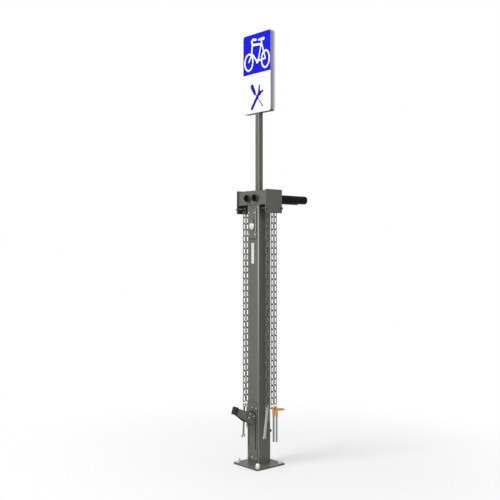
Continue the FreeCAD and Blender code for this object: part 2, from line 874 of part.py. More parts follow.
def pedal_bolts():
    """Bolts through cheek and channel on both sides, and the nut that holds the crosshead on the rod."""
    bolts = []
    face = arm_channel_w / 2 + cheek_t
    for side, y, z in pedal_bolt_places():
        out = V(side, 0, 0)
        head = cyl(bolt_head_r, bolt_head_h, V(side * face, y, z), out)
        rim = [e for e in head.Edges if isinstance(e.Curve, Part.Circle)
               and abs(abs(e.CenterOfMass.x) - face - bolt_head_h) < 1e-6]
        head = head.makeFillet(bolt_head_h * disc_rounding, rim)
        shank = cyl(bolt_r, cheek_t + arm_channel_t, V(side * face, y, z), out * -1)
        bolts.append(head.fuse(shank).removeSplitter())
    top = crosshead_low + crosshead_h
    nut = hexagon(rod_nut_flats, rod_nut_h, V(0, pump_y, top), Z_AXIS)
    bolts.append(nut.cut(cyl(rod_r + fit, rod_nut_h, V(0, pump_y, top), Z_AXIS)))
    return bolts


def piston_rod():
    low = piston_low_z + piston_h - rod_socket_h
    high = crosshead_low + crosshead_h + rod_nut_h
    rod = cyl(rod_r, high - low, V(0, pump_y, low), Z_AXIS)
    collar = cyl(rod_collar_r, rod_collar_h, V(0, pump_y, crosshead_low - rod_collar_h), Z_AXIS)
    return rod.fuse(collar).removeSplitter()


def barrel_bore():
    return barrel_r - barrel_wall


def piston():
    r = barrel_bore() - piston_play
    body = cyl(r, piston_h, V(0, pump_y, piston_low_z), Z_AXIS)
    socket = piston_low_z + piston_h - rod_socket_h
    body = body.cut(cyl(rod_r + fit, rod_socket_h, V(0, pump_y, socket), Z_AXIS))
    mid = piston_low_z + piston_h / 2
    groove = cyl(r, 2 * seal_r, V(0, pump_y, mid - seal_r), Z_AXIS)
    groove = groove.cut(cyl(seal_ring_r() - seal_r, 2 * seal_r, V(0, pump_y, mid - seal_r), Z_AXIS))
    return body.cut(groove)


def seal_ring_r():
    return barrel_bore() - seal_play - seal_r


def piston_seal():
    return Part.makeTorus(seal_ring_r(), seal_r, V(0, pump_y, piston_low_z + piston_h / 2), Z_AXIS)


def pump_barrel():
    length = barrel_top - barrel_bottom
    tube = cyl(barrel_r, length, V(0, pump_y, barrel_bottom), Z_AXIS)
    return tube.cut(cyl(barrel_bore(), length, V(0, pump_y, barrel_bottom), Z_AXIS))


def pump_base_block():
    """Valve block under the barrel, with the passage to the air pipe."""
    half = block_side / 2
    block = box(-half, half + block_wing, pump_y - half, pump_y + half, plate_t, barrel_bottom)
    block = block.fuse(cyl(barrel_bore() - fit, block_spigot_h, V(0, pump_y, barrel_bottom), Z_AXIS))
    block = block.cut(cyl(pipe_r + fit, pipe_socket, V(gland_x, pipe_y, barrel_bottom - pipe_socket), Z_AXIS))
    level = barrel_bottom - pipe_socket - pipe_r
    block = block.cut(cyl(pipe_r, barrel_bottom + block_spigot_h - level, V(0, pump_y, level), Z_AXIS))
    way = V(gland_x, pipe_y, level) - V(0, pump_y, level)
    block = block.cut(cyl(passage_r, way.Length, V(0, pump_y, level), way))
    return block.cut(cyl(passage_r, pipe_r * 2, V(gland_x, pipe_y, level), Z_AXIS)).removeSplitter()


def rod_guide():
    """Cap of the barrel with the bush that the rod slides in."""
    cap = cyl(barrel_r, guide_h, V(0, pump_y, barrel_top), Z_AXIS)
    spigot = cyl(barrel_bore() - fit, guide_spigot_h, V(0, pump_y, barrel_top - guide_spigot_h), Z_AXIS)
    bore = cyl(rod_r + fit, guide_h + guide_spigot_h, V(0, pump_y, barrel_top - guide_spigot_h), Z_AXIS)
    return cap.fuse(spigot).cut(bore).removeSplitter()


def return_spring():
    low = barrel_top + guide_h + spring_wire_r
    high = crosshead_low - rod_collar_h - spring_wire_r - touch
    helix = Part.makeHelix((high - low) / spring_turns, high - low, spring_r)
    wire = Part.Wire(Part.makeCircle(spring_wire_r, V(spring_r, 0, 0), Y_AXIS))
    coil = Part.Wire(helix.Edges).makePipeShell([wire], True, True)
    coil.translate(V(0, pump_y, low))
    return coil


def air_pipe():
    """Rigid tube from the valve block up to the hose connection."""
    points = [V(gland_x, pipe_y, barrel_bottom - pipe_socket), V(gland_x, pipe_y, gland_z),
              V(gland_x, half_column + pipe_out, gland_z)]
    return swept_round(points, pipe_r, pipe_bend_r).cut(swept_round(points, pipe_bore_r, pipe_bend_r))


def hose_gland():
    inner = inner_wall - gland_nut_t
    neck = cyl(gland_neck_r, half_column - inner, V(gland_x, inner, gland_z), Y_AXIS)
    lock = cyl(gland_flange_r, gland_nut_t, V(gland_x, inner, gland_z), Y_AXIS)
    flange = cyl(gland_flange_r, gland_flange_t, V(gland_x, half_column, gland_z), Y_AXIS)
    nozzle = cyl(gland_nozzle_r, gland_out, V(gland_x, half_column, gland_z), Y_AXIS)
    body = neck.fuse(lock).fuse(flange).fuse(nozzle)
    body = body.cut(cyl(pipe_r + fit, half_column + pipe_out - inner, V(gland_x, inner, gland_z), Y_AXIS))
    return body.cut(cyl(gland_bore_r, gland_out * 2, V(gland_x, inner, gland_z), Y_AXIS)).removeSplitter()


# Chains

def ring(wire, inner_r, centre, axis):
    return Part.makeTorus(inner_r + wire / 2, wire / 2, centre, axis)


def chain_link():
    """One oval link in the YZ plane, about the origin."""
    wire_r = link_wire / 2
    bend = link_w / 2 - wire_r
    half = (link_pitch + 2 * touch) / 2 + wire_r - bend
    path = Part.Wire([
        Part.LineSegment(V(0, bend, -half), V(0, bend, half)).toShape(),
        Part.Arc(V(0, bend, half), V(0, 0, half + bend), V(0, -bend, half)).toShape(),
        Part.LineSegment(V(0, -bend, half), V(0, -bend, -half)).toShape(),
        Part.Arc(V(0, -bend, -half), V(0, 0, -half - bend), V(0, bend, -half)).toShape(),
    ])
    section = Part.Wire(Part.makeCircle(wire_r, V(0, bend, -half), Z_AXIS))
    return path.makePipeShell([section], True, False)


def chain(side, y):
    """Ring on the bar, then links that are turned a quarter from one to the next."""
    solids = [ring(top_ring_wire, top_ring_inner_r, V(side * bar_x, y, top_ring_z), Y_AXIS)]
    flat = chain_link()
    for i in range(link_count):
        one = flat.copy()
        if i % 2:
            one.rotate(V(0, 0, 0), Z_AXIS, 90)
        one.translate(V(side * bar_x, y, chain_top - (i + 0.5) * link_pitch))
        solids.append(one)
    return solids


def tool_ring(side, y):
    return ring(tool_ring_wire, tool_ring_inner_r, V(side * bar_x, y, tool_ring_z), Y_AXIS)


# Hand tools, each hanging in the YZ plane on its ring

def hang_level(reach):
    """Level of a hole's top, where the plate's far face is this far sideways from the ring's middle."""
    return tool_ring_z - math.sqrt(tool_ring_inner_r ** 2 - reach ** 2) + touch


def combination_wrench(length, size, shank_share, x, y):
    half, web = wrench_t / 2, wrench_t * wrench_web_share / 2
    box_r, jaw_r, half_shank = size * wrench_box_share, size * wrench_jaw_share, size * shank_share / 2
    eye_z = hang_level(half) - size / 2
    jaw_z = eye_z + box_r - length + jaw_r
    body = cyl(box_r, wrench_t, V(x - half, y, eye_z), X_AXIS)
    body = body.fuse(box(x - web, x + web, y - half_shank, y + half_shank, jaw_z, eye_z))
    body = body.fuse(cyl(jaw_r, wrench_t, V(x - half, y, jaw_z), X_AXIS))
    body = body.cut(cyl(size / 2, wrench_t, V(x - half, y, eye_z), X_AXIS))
    mouth = box(x - half, x + half, y - size / 2, y + size / 2, jaw_z - jaw_r * 2, jaw_z)
    mouth = mouth.fuse(cyl(size / 2, wrench_t, V(x - half, y, jaw_z), X_AXIS))
    mouth.rotate(V(x, y, jaw_z), X_AXIS, wrench_jaw_turn)
    return body.cut(mouth).removeSplitter()


def hung_wrench(side, y, length, size, shank_share, lean):
    tool = combination_wrench(length, size, shank_share, side * bar_x, y)
    return [leaning(tool, y, hang_level(wrench_t / 2), lean), tool_ring(side, y)]


def bent_key(flats, length, arm, x, y, level, droop):
    """Six-sided bar hanging down from the level of its short arm, which points to the rear."""
    angle = math.radians(droop)
    end = V(x, y + arm * math.cos(angle), level - arm * math.sin(angle))
    points = [V(x, y, level - length), V(x, y, level), end]
    corner, into, out = points[1], V(0, 0, -1), (points[2] - points[1]).normalize()
    half_turn = math.acos(into.dot(out)) / 2
    back = key_bend_r / math.tan(half_turn)
    middle_way = (into + out).normalize()
    begin, end = corner + into * back, corner + out * back
    bow = corner + middle_way * (key_bend_r / math.sin(half_turn) - key_bend_r)
    path = Part.Wire([Part.LineSegment(points[0], begin).toShape(), Part.Arc(begin, bow, end).toShape(),
                      Part.LineSegment(end, points[2]).toShape()])
    r = flats / math.sqrt(3)
    corners = [points[0] + V(r * math.cos(math.radians(60 * i)), r * math.sin(math.radians(60 * i)), 0)
               for i in range(6)]
    return path.makePipeShell([Part.makePolygon(corners + [corners[0]])], True, False)


def small_hex_key():
    """Bare key whose short arm ends in an eye on the ring, the long arm hanging in front of it."""
    y, eye_z = right_chain_ys[1], hang_level(eye_t / 2) - eye_hole_r
    arm = small_key_arm - (eye_r + eye_hole_r) / 2
    key = bent_key(small_key_flats, small_key_l, arm, bar_x, y - small_key_arm, eye_z, 0)
    start = V(bar_x - eye_t / 2, y, eye_z)
    key = key.fuse(cyl(eye_r, eye_t, start, X_AXIS)).cut(cyl(eye_hole_r, eye_t, start, X_AXIS))
    return [key.removeSplitter(), tool_ring(1, y)]


def long_key_place(index):
    return bar_x + long_key_x[index], right_chain_ys[2] + long_key_y[index]


def long_key(index):
    x, y = long_key_place(index)
    return bent_key(long_key_flats[index], long_key_l, long_key_arm, x, y, key_level, key_droop)


def key_sleeve(index):
    """Bright plastic sleeve round the bend, with a tail on the short arm and an eye for the shared ring."""
    (x, y), chain_y = long_key_place(index), right_chain_ys[2]
    straight = key_sleeve_l - key_sleeve_r
    body = cyl(key_sleeve_r, straight, V(x, y, key_level - straight), Z_AXIS)
    body = body.fuse(Part.makeSphere(key_sleeve_r, V(x, y, key_level)))
    angle = math.radians(key_droop)
    tail_way = V(0, math.cos(angle), -math.sin(angle))
    body = body.fuse(Part.makeCone(key_sleeve_r, key_tail_r, key_tail_l, V(x, y, key_level), tail_way))
    side = key_eye_x[index]
    eye_z = hang_level(abs(side) + key_eye_t / 2) - eye_hole_r
    x0 = bar_x + side - key_eye_t / 2
    body = body.fuse(cyl(eye_r, key_eye_t, V(x0, chain_y, eye_z), X_AXIS))
    body = body.fuse(box(x0, x0 + key_eye_t, min(y, chain_y - eye_r), chain_y + eye_r, key_level, eye_z))
    body = body.cut(cyl(eye_hole_r, key_eye_t, V(x0, chain_y, eye_z), X_AXIS))
    return body.cut(long_key(index)).removeSplitter()


def tyre_lever():
    """Flat lever with a hole above, and a hook notch and a spoke slot below."""
    y, half_t = left_chain_ys[1], lever_t / 2
    hang, x0 = hang_level(half_t), -bar_x - half_t
    top = hang + lever_head
    low = top - lever_l
    body = rounded_box(x0, x0 + lever_t, y - lever_w / 2, y + lever_w / 2, low, top, lever_end_round, X_AXIS)
    body = body.cut(cyl(eye_hole_r, lever_t, V(x0, y, hang - eye_hole_r), X_AXIS))
    body = body.cut(cyl(lever_notch_r, lever_t, V(x0, y + lever_w / 2, low + lever_notch_z), X_AXIS))
    return [body.cut(cyl(lever_notch_r, lever_t, V(x0, y, low + lever_slot_z), X_AXIS)), tool_ring(-1, y)]


def driver_handle_low():
    return hang_level(driver_neck_t / 2) + driver_head - driver_handle_l


def driver_handle():
    """Fluted handle, its end cut to a flat neck with the hole for the ring."""
    x, y, low = -bar_x, left_chain_ys[2], driver_handle_low()
    handle = cyl(driver_handle_r, driver_handle_l, V(x, y, low), Z_AXIS)
    rims = [e for e in handle.Edges if isinstance(e.Curve, Part.Circle)]
    handle = handle.makeFillet(driver_handle_round, rims)
    for i in range(driver_flute_count):
        angle = 2 * math.pi * i / driver_flute_count
        start = V(x + driver_flute_reach * math.cos(angle), y + driver_flute_reach * math.sin(angle),
                  low + driver_flute_low)
        handle = handle.cut(cyl(driver_flute_r, driver_flute_l, start, Z_AXIS))
    hang = hang_level(driver_neck_t / 2)
    for side in (-1, 1):
        x0, x1 = sorted((x + side * driver_neck_t / 2, x + side * driver_handle_r))
        handle = handle.cut(box(x0, x1, y - driver_handle_r, y + driver_handle_r,
                                hang - 3 * eye_hole_r, low + driver_handle_l))
    handle = handle.cut(cyl(eye_hole_r, driver_neck_t, V(x - driver_neck_t / 2, y, hang - eye_hole_r), X_AXIS))
    return handle.cut(cyl(driver_blade_r, driver_blade_in, V(x, y, low), Z_AXIS))


def driver_blade():
    x, y, low = -bar_x, left_chain_ys[2], driver_handle_low() - driver_blade_l
    blade = cyl(driver_blade_r, driver_blade_l + driver_blade_in, V(x, y, low), Z_AXIS)
    for side in (-1, 1):
        x0, x1 = sorted((x + side * driver_tip_t / 2, x + side * driver_blade_r))
        blade = blade.cut(box(x0, x1, y - driver_blade_r, y + driver_blade_r, low, low + driver_tip_l))
    return [blade, tool_ring(-1, y)]


def write_stand():
    export(base_plate(), "base_plate")
    export_group(anchor_caps(), "anchor_caps")
    export(column(), "column")
    export(column_cap(), "column_cap")
    export(pump_cover(), "pump_cover")
    export(upper_cover(), "upper_cover")
    export_group(cover_screws(), "cover_screws")
    export(label_plate(), "label_plate")
    export(hinge_block(), "hinge_block")
    export(lock_cylinder(), "lock_cylinder")
    export(keyhole_flap(), "keyhole_flap")


def write_head():
    for side, name in ((-1, "left"), (1, "right")):
        export(side_plate(side), "head_side_" + name)
        export(chain_bar(side), "chain_bar_" + name)
        export(arm_tube(side * arm_x), "arm_tube_" + name)
        export(arm_sleeve(side * arm_x), "arm_sleeve_" + name)
    export(head_front(), "head_front")
    export(head_rear(), "head_rear")
    export(head_top(), "head_top")
    export_group(chain_bar_nuts(), "chain_bar_nuts")
    export_group(arm_end_caps(), "arm_end_caps")


def write_sign():
    export(pole(), "pole")
    export(sign_tray(), "sign_tray")
    export(sign_film(sign_split, sign_top - film_margin, True), "sign_film_upper")
    export(sign_film(sign_bottom + film_margin, sign_split, False), "sign_film_lower")
    export_group([sign_clamp(z) for z in clamp_heights()], "sign_clamps")
    export_group(sign_screws(), "sign_studs")


def write_pump():
    export(pedal_arm(), "pedal_arm")
    export(pedal_cap(), "pedal_cap")
    export(pedal_carriage(), "pedal_carriage")
    export_group(pedal_bolts(), "pedal_bolts")
    export(piston_rod(), "piston_rod")
    export(piston(), "piston")
    export(piston_seal(), "piston_seal")
    export(pump_barrel(), "pump_barrel")
    export(pump_base_block(), "pump_base_block")
    export(rod_guide(), "rod_guide")
    export(return_spring(), "return_spring")
    export(air_pipe(), "air_pipe")
    export(hose_gland(), "hose_gland")


def write_chains():
    places = ("front", "middle", "rear")
    for side, name, ys in ((-1, "left", left_chain_ys), (1, "right", right_chain_ys)):
        for place, y in zip(places, ys):
            export_group(chain(side, y), "chain_" + name + "_" + place)


def write_tools():
    export_group(hung_wrench(1, right_chain_ys[0], small_wrench_l, small_wrench_size, small_shank_share,
                             small_wrench_lean),
                 "small_wrench")
    export_group(small_hex_key(), "small_hex_key")
    export_group([long_key(0), long_key(1), tool_ring(1, right_chain_ys[2])], "long_hex_keys")
    export_group([key_sleeve(0), key_sleeve(1)], "key_sleeves")
    export_group(hung_wrench(-1, left_chain_ys[0], large_wrench_l, large_wrench_size, large_shank_share,
                             large_wrench_lean),
                 "large_wrench")
    export_group(tyre_lever(), "tyre_lever")
    export(driver_handle(), "screwdriver_handle")
    export_group(driver_blade(), "screwdriver_blade")


os.makedirs("parts", exist_ok=True)
write_stand()
write_head()
write_sign()
write_pump()
write_chains()
write_tools()
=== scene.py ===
"""Dresses the bicycle repair station: finishes, fasteners, welds, grips, signs, chains and a plain studio."""
import json
import math

import bmesh
import bpy
from bpy.props import FloatProperty, FloatVectorProperty, IntProperty, PointerProperty
from bpy.types import Operator, Panel, PropertyGroup
from mathutils import Matrix, Vector

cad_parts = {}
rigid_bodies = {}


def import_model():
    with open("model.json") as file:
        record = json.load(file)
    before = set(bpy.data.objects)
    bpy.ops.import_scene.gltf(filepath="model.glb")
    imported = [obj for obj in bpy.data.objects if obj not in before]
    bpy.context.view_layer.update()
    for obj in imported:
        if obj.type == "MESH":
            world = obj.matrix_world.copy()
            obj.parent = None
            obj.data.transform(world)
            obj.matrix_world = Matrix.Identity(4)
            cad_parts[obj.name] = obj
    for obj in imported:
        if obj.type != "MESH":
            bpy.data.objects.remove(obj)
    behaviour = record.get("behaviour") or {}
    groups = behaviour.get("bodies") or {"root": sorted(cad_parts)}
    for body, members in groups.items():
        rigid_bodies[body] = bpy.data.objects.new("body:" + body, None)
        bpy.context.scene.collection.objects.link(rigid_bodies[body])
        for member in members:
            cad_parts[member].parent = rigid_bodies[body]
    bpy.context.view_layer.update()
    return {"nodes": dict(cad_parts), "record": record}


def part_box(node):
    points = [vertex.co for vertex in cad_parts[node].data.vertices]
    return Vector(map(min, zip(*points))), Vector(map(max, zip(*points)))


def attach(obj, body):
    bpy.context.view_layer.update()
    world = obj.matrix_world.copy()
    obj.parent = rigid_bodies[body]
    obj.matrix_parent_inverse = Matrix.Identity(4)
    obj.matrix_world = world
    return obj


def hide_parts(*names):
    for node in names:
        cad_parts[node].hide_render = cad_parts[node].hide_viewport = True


bl_info = {
    "name": "Bicycle Repair Station",
    "version": (1, 0, 0),
    "blender": (4, 5, 0),
    "location": "3D Viewport > Sidebar > Repair Station",
    "description": "Finishes, fasteners, welds, grips and signs of a public bicycle repair station",
    "category": "Object",
}

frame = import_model()
MM = 0.001
UP = Vector((0, 0, 1))
FRONT = Vector((0, -1, 0))
REAR = Vector((0, 1, 0))
RIGHT = Vector((1, 0, 0))
SIDES = (-1, 1)
WHITE = (1.0, 1.0, 1.0, 1.0)
ANY_COLOUR = (0.5, 0.5, 0.5, 1.0)

# Material slots, finishes that differ from their slot, and bodies of the CAD nodes
SLOT_OF = {part["node"]: part["material_slot"] for part in frame["record"]["subparts"]}
OWN_FINISH = {"sign_tray": "sign_metal", "long_hex_keys": "key_steel", "small_hex_key": "key_steel",
              "chain_bar_left": "bar_steel", "chain_bar_right": "bar_steel", "chain_bar_nuts": "bar_steel"}
BODY_OF = {node: body for body, nodes in frame["record"]["behaviour"]["bodies"].items() for node in nodes}

# Sides of a link's wire and of a weld bead
BAR_SIDES = 8
# Degrees between faces, from which an edge is rounded and below which two faces are one
EDGE_ANGLE = 30.0
FLAT_ANGLE = 0.6
# Share of the paint's edge round that each node gets
EDGE_SHARES = (
    (1.0, ("head_front", "head_rear", "head_top", "column_cap", "pump_cover", "pedal_carriage")),
    (0.7, ("pedal_arm",)),
    (0.6, ("sign_tray",)),
    (0.5, ("head_side_left", "head_side_right", "upper_cover", "pole", "sign_clamps")),
    (0.4, ("label_plate", "lock_cylinder")),
    (0.3, ("keyhole_flap",)),
    (0.2, ("pedal_cap",)),
    (0.12, ("hinge_block",)),
)
# Edge round of the hand tools in millimetres, and its segments
TOOL_EDGES = {"small_wrench": (0.35, 2), "large_wrench": (0.35, 2), "tyre_lever": (0.9, 3),
              "key_sleeves": (0.12, 2), "screwdriver_handle": (0.15, 2)}

# Sizes and places in millimetres
COLUMN_CORNER = 8.0
POLE_CORNER = 2.5
CAP_RADIUS = 11.5
CAP_WALL = 1.5
PUMP_SCREWS = [(x, z) for x in (-33, 0, 33) for z in (47, 313)]
UPPER_SCREWS = [(x, z) for x in (-23.3, 23.3) for z in (1241.5, 1357.0)]
LOCK_SCREW = (2.0, 1337.0)
PEDAL_BOLTS = [(-97.0, 269.0), (-89.0, 289.0), (-62.0, 272.0)]
COVER_HEAD = (4.5, 2.8)
LOCK_HEAD = (2.6, 1.4)
PEDAL_HEAD = (5.2, 3.4)
NUT_SLOPE = 0.6
ROD_Y = 12.0
ROD_NUT_T = 8.0
BAR_END_Y = 52.5
BAR_Z = 1380.0
GROOVE_STARTS = (6.0, 11.0, 16.0, 21.0)
GROOVE_DEPTH = 0.45
BARB_PITCH = 2.6
BARB_TAPER = 0.45

# Bars of the bicycle symbol: two ends as (x, z), and their half widths as shares of half a stroke
BICYCLE_BARS = (
    ((-64.6, 2183), (-46, 2209), 0.9),
    ((-46, 2209), (-41, 2226), 1),
    ((-41, 2226), (-35, 2279), 1.1),
    ((-35, 2270), (40, 2263), 1.15),
    ((-41, 2226), (5, 2172), 1),
    ((13, 2180), (36, 2260), 0.85),
    ((40, 2264), (40, 2286), 1),
    ((15, 2290), (56, 2289), 0.9, 1.55),
    ((-36, 2275), (-41, 2289), 1.15),
    ((-41, 2289), (-31, 2299), 1.15),
    ((-31, 2299), (-7, 2294), 1.2),
    ((6, 2176), (70, 2181), 0.8),
    ((42, 2262), (70, 2181), 0.85),
    ((4, 2172), (13, 2181), 1.6),
)
# Wheels of the bicycle symbol: middle as (x, z), half width and half height
BICYCLE_WHEELS = (((-65, 2180), 38.5, 49.5), ((70.5, 2178), 36, 50))
# Bars of the wrench and the screwdriver: two ends as (x, z) and their half widths
TOOL_BARS = (
    ((-38, 1927), (17, 1999), 9.6, 8.9),
    ((22.3, 2001.4), (24.1, 2006.6), 13.2, 12.9),
    ((18.2, 2008.3), (22.1, 2043), 8.1, 4.7),
    ((27.4, 2001.7), (49, 2010.8), 8.4, 5.3),
    ((-38, 2045), (-16.3, 2006.4), 12.4, 10.3),
    ((-18, 2008), (44, 1936), 3.1, 2.9),
    ((41.3, 1938.9), (48, 1930), 4.5, 3.5),
)
JAW_BAR = ((32.3, 2019.4), (49.2, 2044.3), 7.6, 11.2)

# Camera, lamps and floor, in metres but for the lens
CAMERA_PLACE = Vector((3.208, -2.8145, 1.1583))
CAMERA_YAW = math.radians(49.4)
CAMERA_LENS = 56.8
KEY_LAMP = {"place": (-0.7, -4.2, 4.7), "target": (0.0, 0.0, 1.1), "size": (2.4, 1.8)}
STRIP_LAMP = {"place": (3.55, -3.11, 1.3), "target": (0.0, 0.0, 1.3), "size": (0.9, 1.8)}
FLOOR_HALF = 30.0


def node_box(node):
    """Lowest and highest corners of a CAD node."""
    return [Vector(corner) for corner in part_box(node)]


def colour(label, what, default):
    return FloatVectorProperty(name=label, description=what, default=default, min=0.0, max=1.0,
                               subtype="COLOR")


def length(label, what, millimetres):
    return FloatProperty(name=label, description=what, default=millimetres * MM, min=0.0, precision=5,
                         unit="LENGTH")


def share(label, what, default):
    return FloatProperty(name=label, description=what, default=default, min=0.0, max=1.0, subtype="FACTOR")


def power(label, what, watts):
    return FloatProperty(name=label, description=what, default=watts, min=0.0, unit="POWER")


def number(label, what, default, least, most):
    return IntProperty(name=label, description=what, default=default, min=least, max=most)


class PaintSettings(PropertyGroup):
    tone: colour("Paint", "Grey powder coat of the stand and its pedal", (0.141, 0.139, 0.130))
    bare: colour("Bare metal", "Metal where the paint is rubbed away", (0.34, 0.33, 0.31))
    # Painted highlight: the next two give paler paint on rounded upright corners, in place of a lamp's shine
    rubbed: colour("Rubbed paint", "Paler paint on rounded upright corners", (0.44, 0.44, 0.425))
    rub: share("Corner rub", "How much the upright corners are rubbed", 1.0)
    dust: colour("Dust", "Dust near the ground and on ledges", (0.27, 0.25, 0.21))
    gloss: share("Roughness", "Roughness of the powder coat", 0.42)
    peel: length("Orange peel", "Width of the powder coat's ripples", 1.6)
    wear: share("Edge wear", "How much of the edges is rubbed", 0.35)
    dust_height: length("Dust height", "How far up the dust reaches", 260.0)
    edge: length("Edge round", "Rounding of cut sheet edges", 0.7)


class MetalSettings(PropertyGroup):
    zinc: colour("Zinc", "Dull zinc of the chains", (0.17, 0.17, 0.163))
    bright: colour("Bright zinc", "Screws and bolts", (0.55, 0.55, 0.53))
    tool: colour("Tool steel", "Satin plated wrenches and tyre lever", (0.64, 0.64, 0.625))
    key: colour("Key steel", "Hex keys", (0.34, 0.34, 0.33))
    # Partly painted shade: dark steel made near black, so the bars and their nuts also stand for the shade
    # inside the head
    bar: colour("Bar steel", "Chain bars and their nuts under the head", (0.07, 0.07, 0.068))
    chrome: colour("Chrome", "Polished flap and pump rod", (0.86, 0.86, 0.86))
    casting: colour("Casting", "Grey lock housing", (0.20, 0.20, 0.19))
    grain: length("Grain", "Width of the brushed lines", 0.35)


class PlasticSettings(PropertyGroup):
    cap: colour("Anchor caps", "White domes over the anchor bolts", (0.98, 0.98, 0.98))
    grip: colour("Arm sleeves", "Black foam rubber of the hanging arms", (0.008, 0.008, 0.008))
    plug: colour("Plugs", "Black plastic plugs and hose connection", (0.003, 0.003, 0.0035))
    pad: colour("Pedal rubber", "Black rubber of the pedal's cap", (0.024, 0.024, 0.025))
    key: colour("Key sleeves", "Orange sleeves of the long hex keys", (0.92, 0.43, 0.10))
    handle: colour("Screwdriver handle", "Dark handle of the screwdriver", (0.03, 0.03, 0.035))
    label: colour("Label strip", "Blank pale strip on the column", (0.80, 0.81, 0.78))


class SignSettings(PropertyGroup):
    blue: colour("Blue", "Blue film of the upper field", (0.008, 0.009, 0.72))
    navy: colour("Navy", "Blue film of the tools symbol", (0.010, 0.007, 0.45))
    white: colour("White", "White film and the bicycle symbol", (0.96, 0.96, 0.965))
    back: colour("Tray", "Bare aluminium of the sign's tray", (0.97, 0.98, 0.99))
    # Painted reflection: the tray's darker band beside the front edge, and how far back it fades
    fold: colour("Tray fold", "Darker metal beside the folded front edge", (0.36, 0.375, 0.44))
    shade_reach: length("Fold depth", "How far back the darker metal reaches", 30.0)
    film: length("Symbol thickness", "Thickness of the cut symbols", 0.25)
    stroke: length("Stroke", "Width of the bicycle symbol's lines", 10.6)


class ScrewSettings(PropertyGroup):
    steps: number("Steps", "Corners of a round head, a multiple of six", 24, 12, 48)
    socket: share("Socket", "Hex socket across the flats, as a share of the head", 0.5)
    bead: length("Weld bead", "Width of a weld bead", 5.0)
    ripple: length("Weld ripple", "Length of one ripple", 2.2)


class ChainSettings(PropertyGroup):
    wire: length("Wire", "Thickness of a link's wire", 5.0)
    width: length("Width", "Width of a link over its wires", 20.0)
    pitch: length("Pitch", "Distance from one link to the next", 33.4)
    links: number("Links", "Links of one chain", 31, 1, 60)
    ring_wire: length("Ring wire", "Thickness of the ring on the bar", 4.5)
    ring_hole: length("Ring hole", "Inner radius of the ring on the bar", 7.7)


class StudioSettings(PropertyGroup):
    key: power("Key lamp", "Large lamp above the front", 160.0)
    strip: power("Strip lamp", "Upright lamp that only gloss shows", 90.0)
    sky: share("Sky overhead", "Soft light from above", 0.64)
    horizon: share("Sky low", "Soft light from all round", 0.76)
    floor: colour("Floor", "Pale floor as it is seen", (0.60, 0.60, 0.602))
    mirror: share("Reflections", "White surroundings in a reflection", 0.3)
    glow: share("Floor lift", "What keeps the seen floor's shadow light", 0.36)
    bounce: colour("Floor bounce", "Floor as it lights the object from below", (0.46, 0.46, 0.46))


class StationSettings(PropertyGroup):
    paint: PointerProperty(type=PaintSettings)
    metal: PointerProperty(type=MetalSettings)
    plastic: PointerProperty(type=PlasticSettings)
    sign: PointerProperty(type=SignSettings)
    screw: PointerProperty(type=ScrewSettings)
    chain: PointerProperty(type=ChainSettings)
    studio: PointerProperty(type=StudioSettings)


# Shader groups

class Graph:
    """Adds nodes to a tree and links or sets their inputs."""

    def __init__(self, tree):
        self.tree = tree

    def join(self, output, socket):
        self.tree.links.new(output, socket)

    def add(self, kind, inputs=(), **settings):
        node = self.tree.nodes.new("ShaderNode" + kind)
        for name, value in settings.items():
            setattr(node, name, value)
        for name, value in dict(inputs).items():
            if isinstance(value, bpy.types.NodeSocket):
                self.join(value, node.inputs[name])
            else:
                node.inputs[name].default_value = value
        return node

    def math(self, operation, *values, clamp=False):
        return self.add("Math", enumerate(values), operation=operation, use_clamp=clamp).outputs[0]

    def place(self):
        return self.add("TexCoord").outputs["Object"]

    def normal(self):
        return self.add("NewGeometry").outputs["Normal"]

    def split(self, vector):
        return self.add("SeparateXYZ", {0: vector}).outputs

    def vector(self, operation, first, second):
        return self.add("VectorMath", {0: first, 1: second}, operation=operation).outputs

    def noise(self, vector, scale, detail=2.0):
        return self.add("TexNoise", {"Vector": vector, "Scale": scale, "Detail": detail}).outputs["Fac"]

    def spread(self, value, low, high, to_low=0.0, to_high=1.0):
        found = self.add("MapRange", {"Value": value, "From Min": low, "From Max": high, "To Min": to_low,
                                      "To Max": to_high}, interpolation_type="SMOOTHSTEP")
        return found.outputs["Result"]

    def mix(self, factor, first, second):
        """Colour mix, whose colour sockets are found by their index."""
        return self.add("Mix", {0: factor, 6: first, 7: second}, data_type="RGBA").outputs[2]


def shader_group(name, inputs, outputs):
    """Empty node group with inputs as name: default, and outputs that are floats but for Color."""
    tree = bpy.data.node_groups.new(name, "ShaderNodeTree")
    for label, value in inputs.items():
        kind = "Float" if isinstance(value, float) else {3: "Vector", 4: "Color"}[len(value)]
        socket = tree.interface.new_socket(name=label, in_out="INPUT", socket_type="NodeSocket" + kind)
        socket.default_value = value
    for label in outputs:
        kind = "Color" if label == "Color" else "Float"
        tree.interface.new_socket(name=label, in_out="OUTPUT", socket_type="NodeSocket" + kind)
    given = tree.nodes.new("NodeGroupInput").outputs
    return Graph(tree), given, tree.nodes.new("NodeGroupOutput").inputs


def tone_group():
    """Slow change of a colour's lightness, with a finer speckle over it."""
    g, given, out = shader_group("Tone", {"Color": ANY_COLOUR, "Variation": 0.1, "Size": 0.1}, ("Color",))
    place = g.place()
    scale = g.math("DIVIDE", 1.0, given["Size"])
    slow = g.noise(place, scale, 3.0)
    fine = g.noise(place, g.math("MULTIPLY", scale, 23.0), 2.0)
    both = g.math("ADD", g.math("MULTIPLY", slow, 0.7), g.math("MULTIPLY", fine, 0.3))
    value = g.math("ADD", 1.0, g.math("MULTIPLY", g.math("SUBTRACT", both, 0.5), given["Variation"]))
    made = g.add("HueSaturation", {"Value": value, "Color": given["Color"]})
    g.join(made.outputs["Color"], out["Color"])


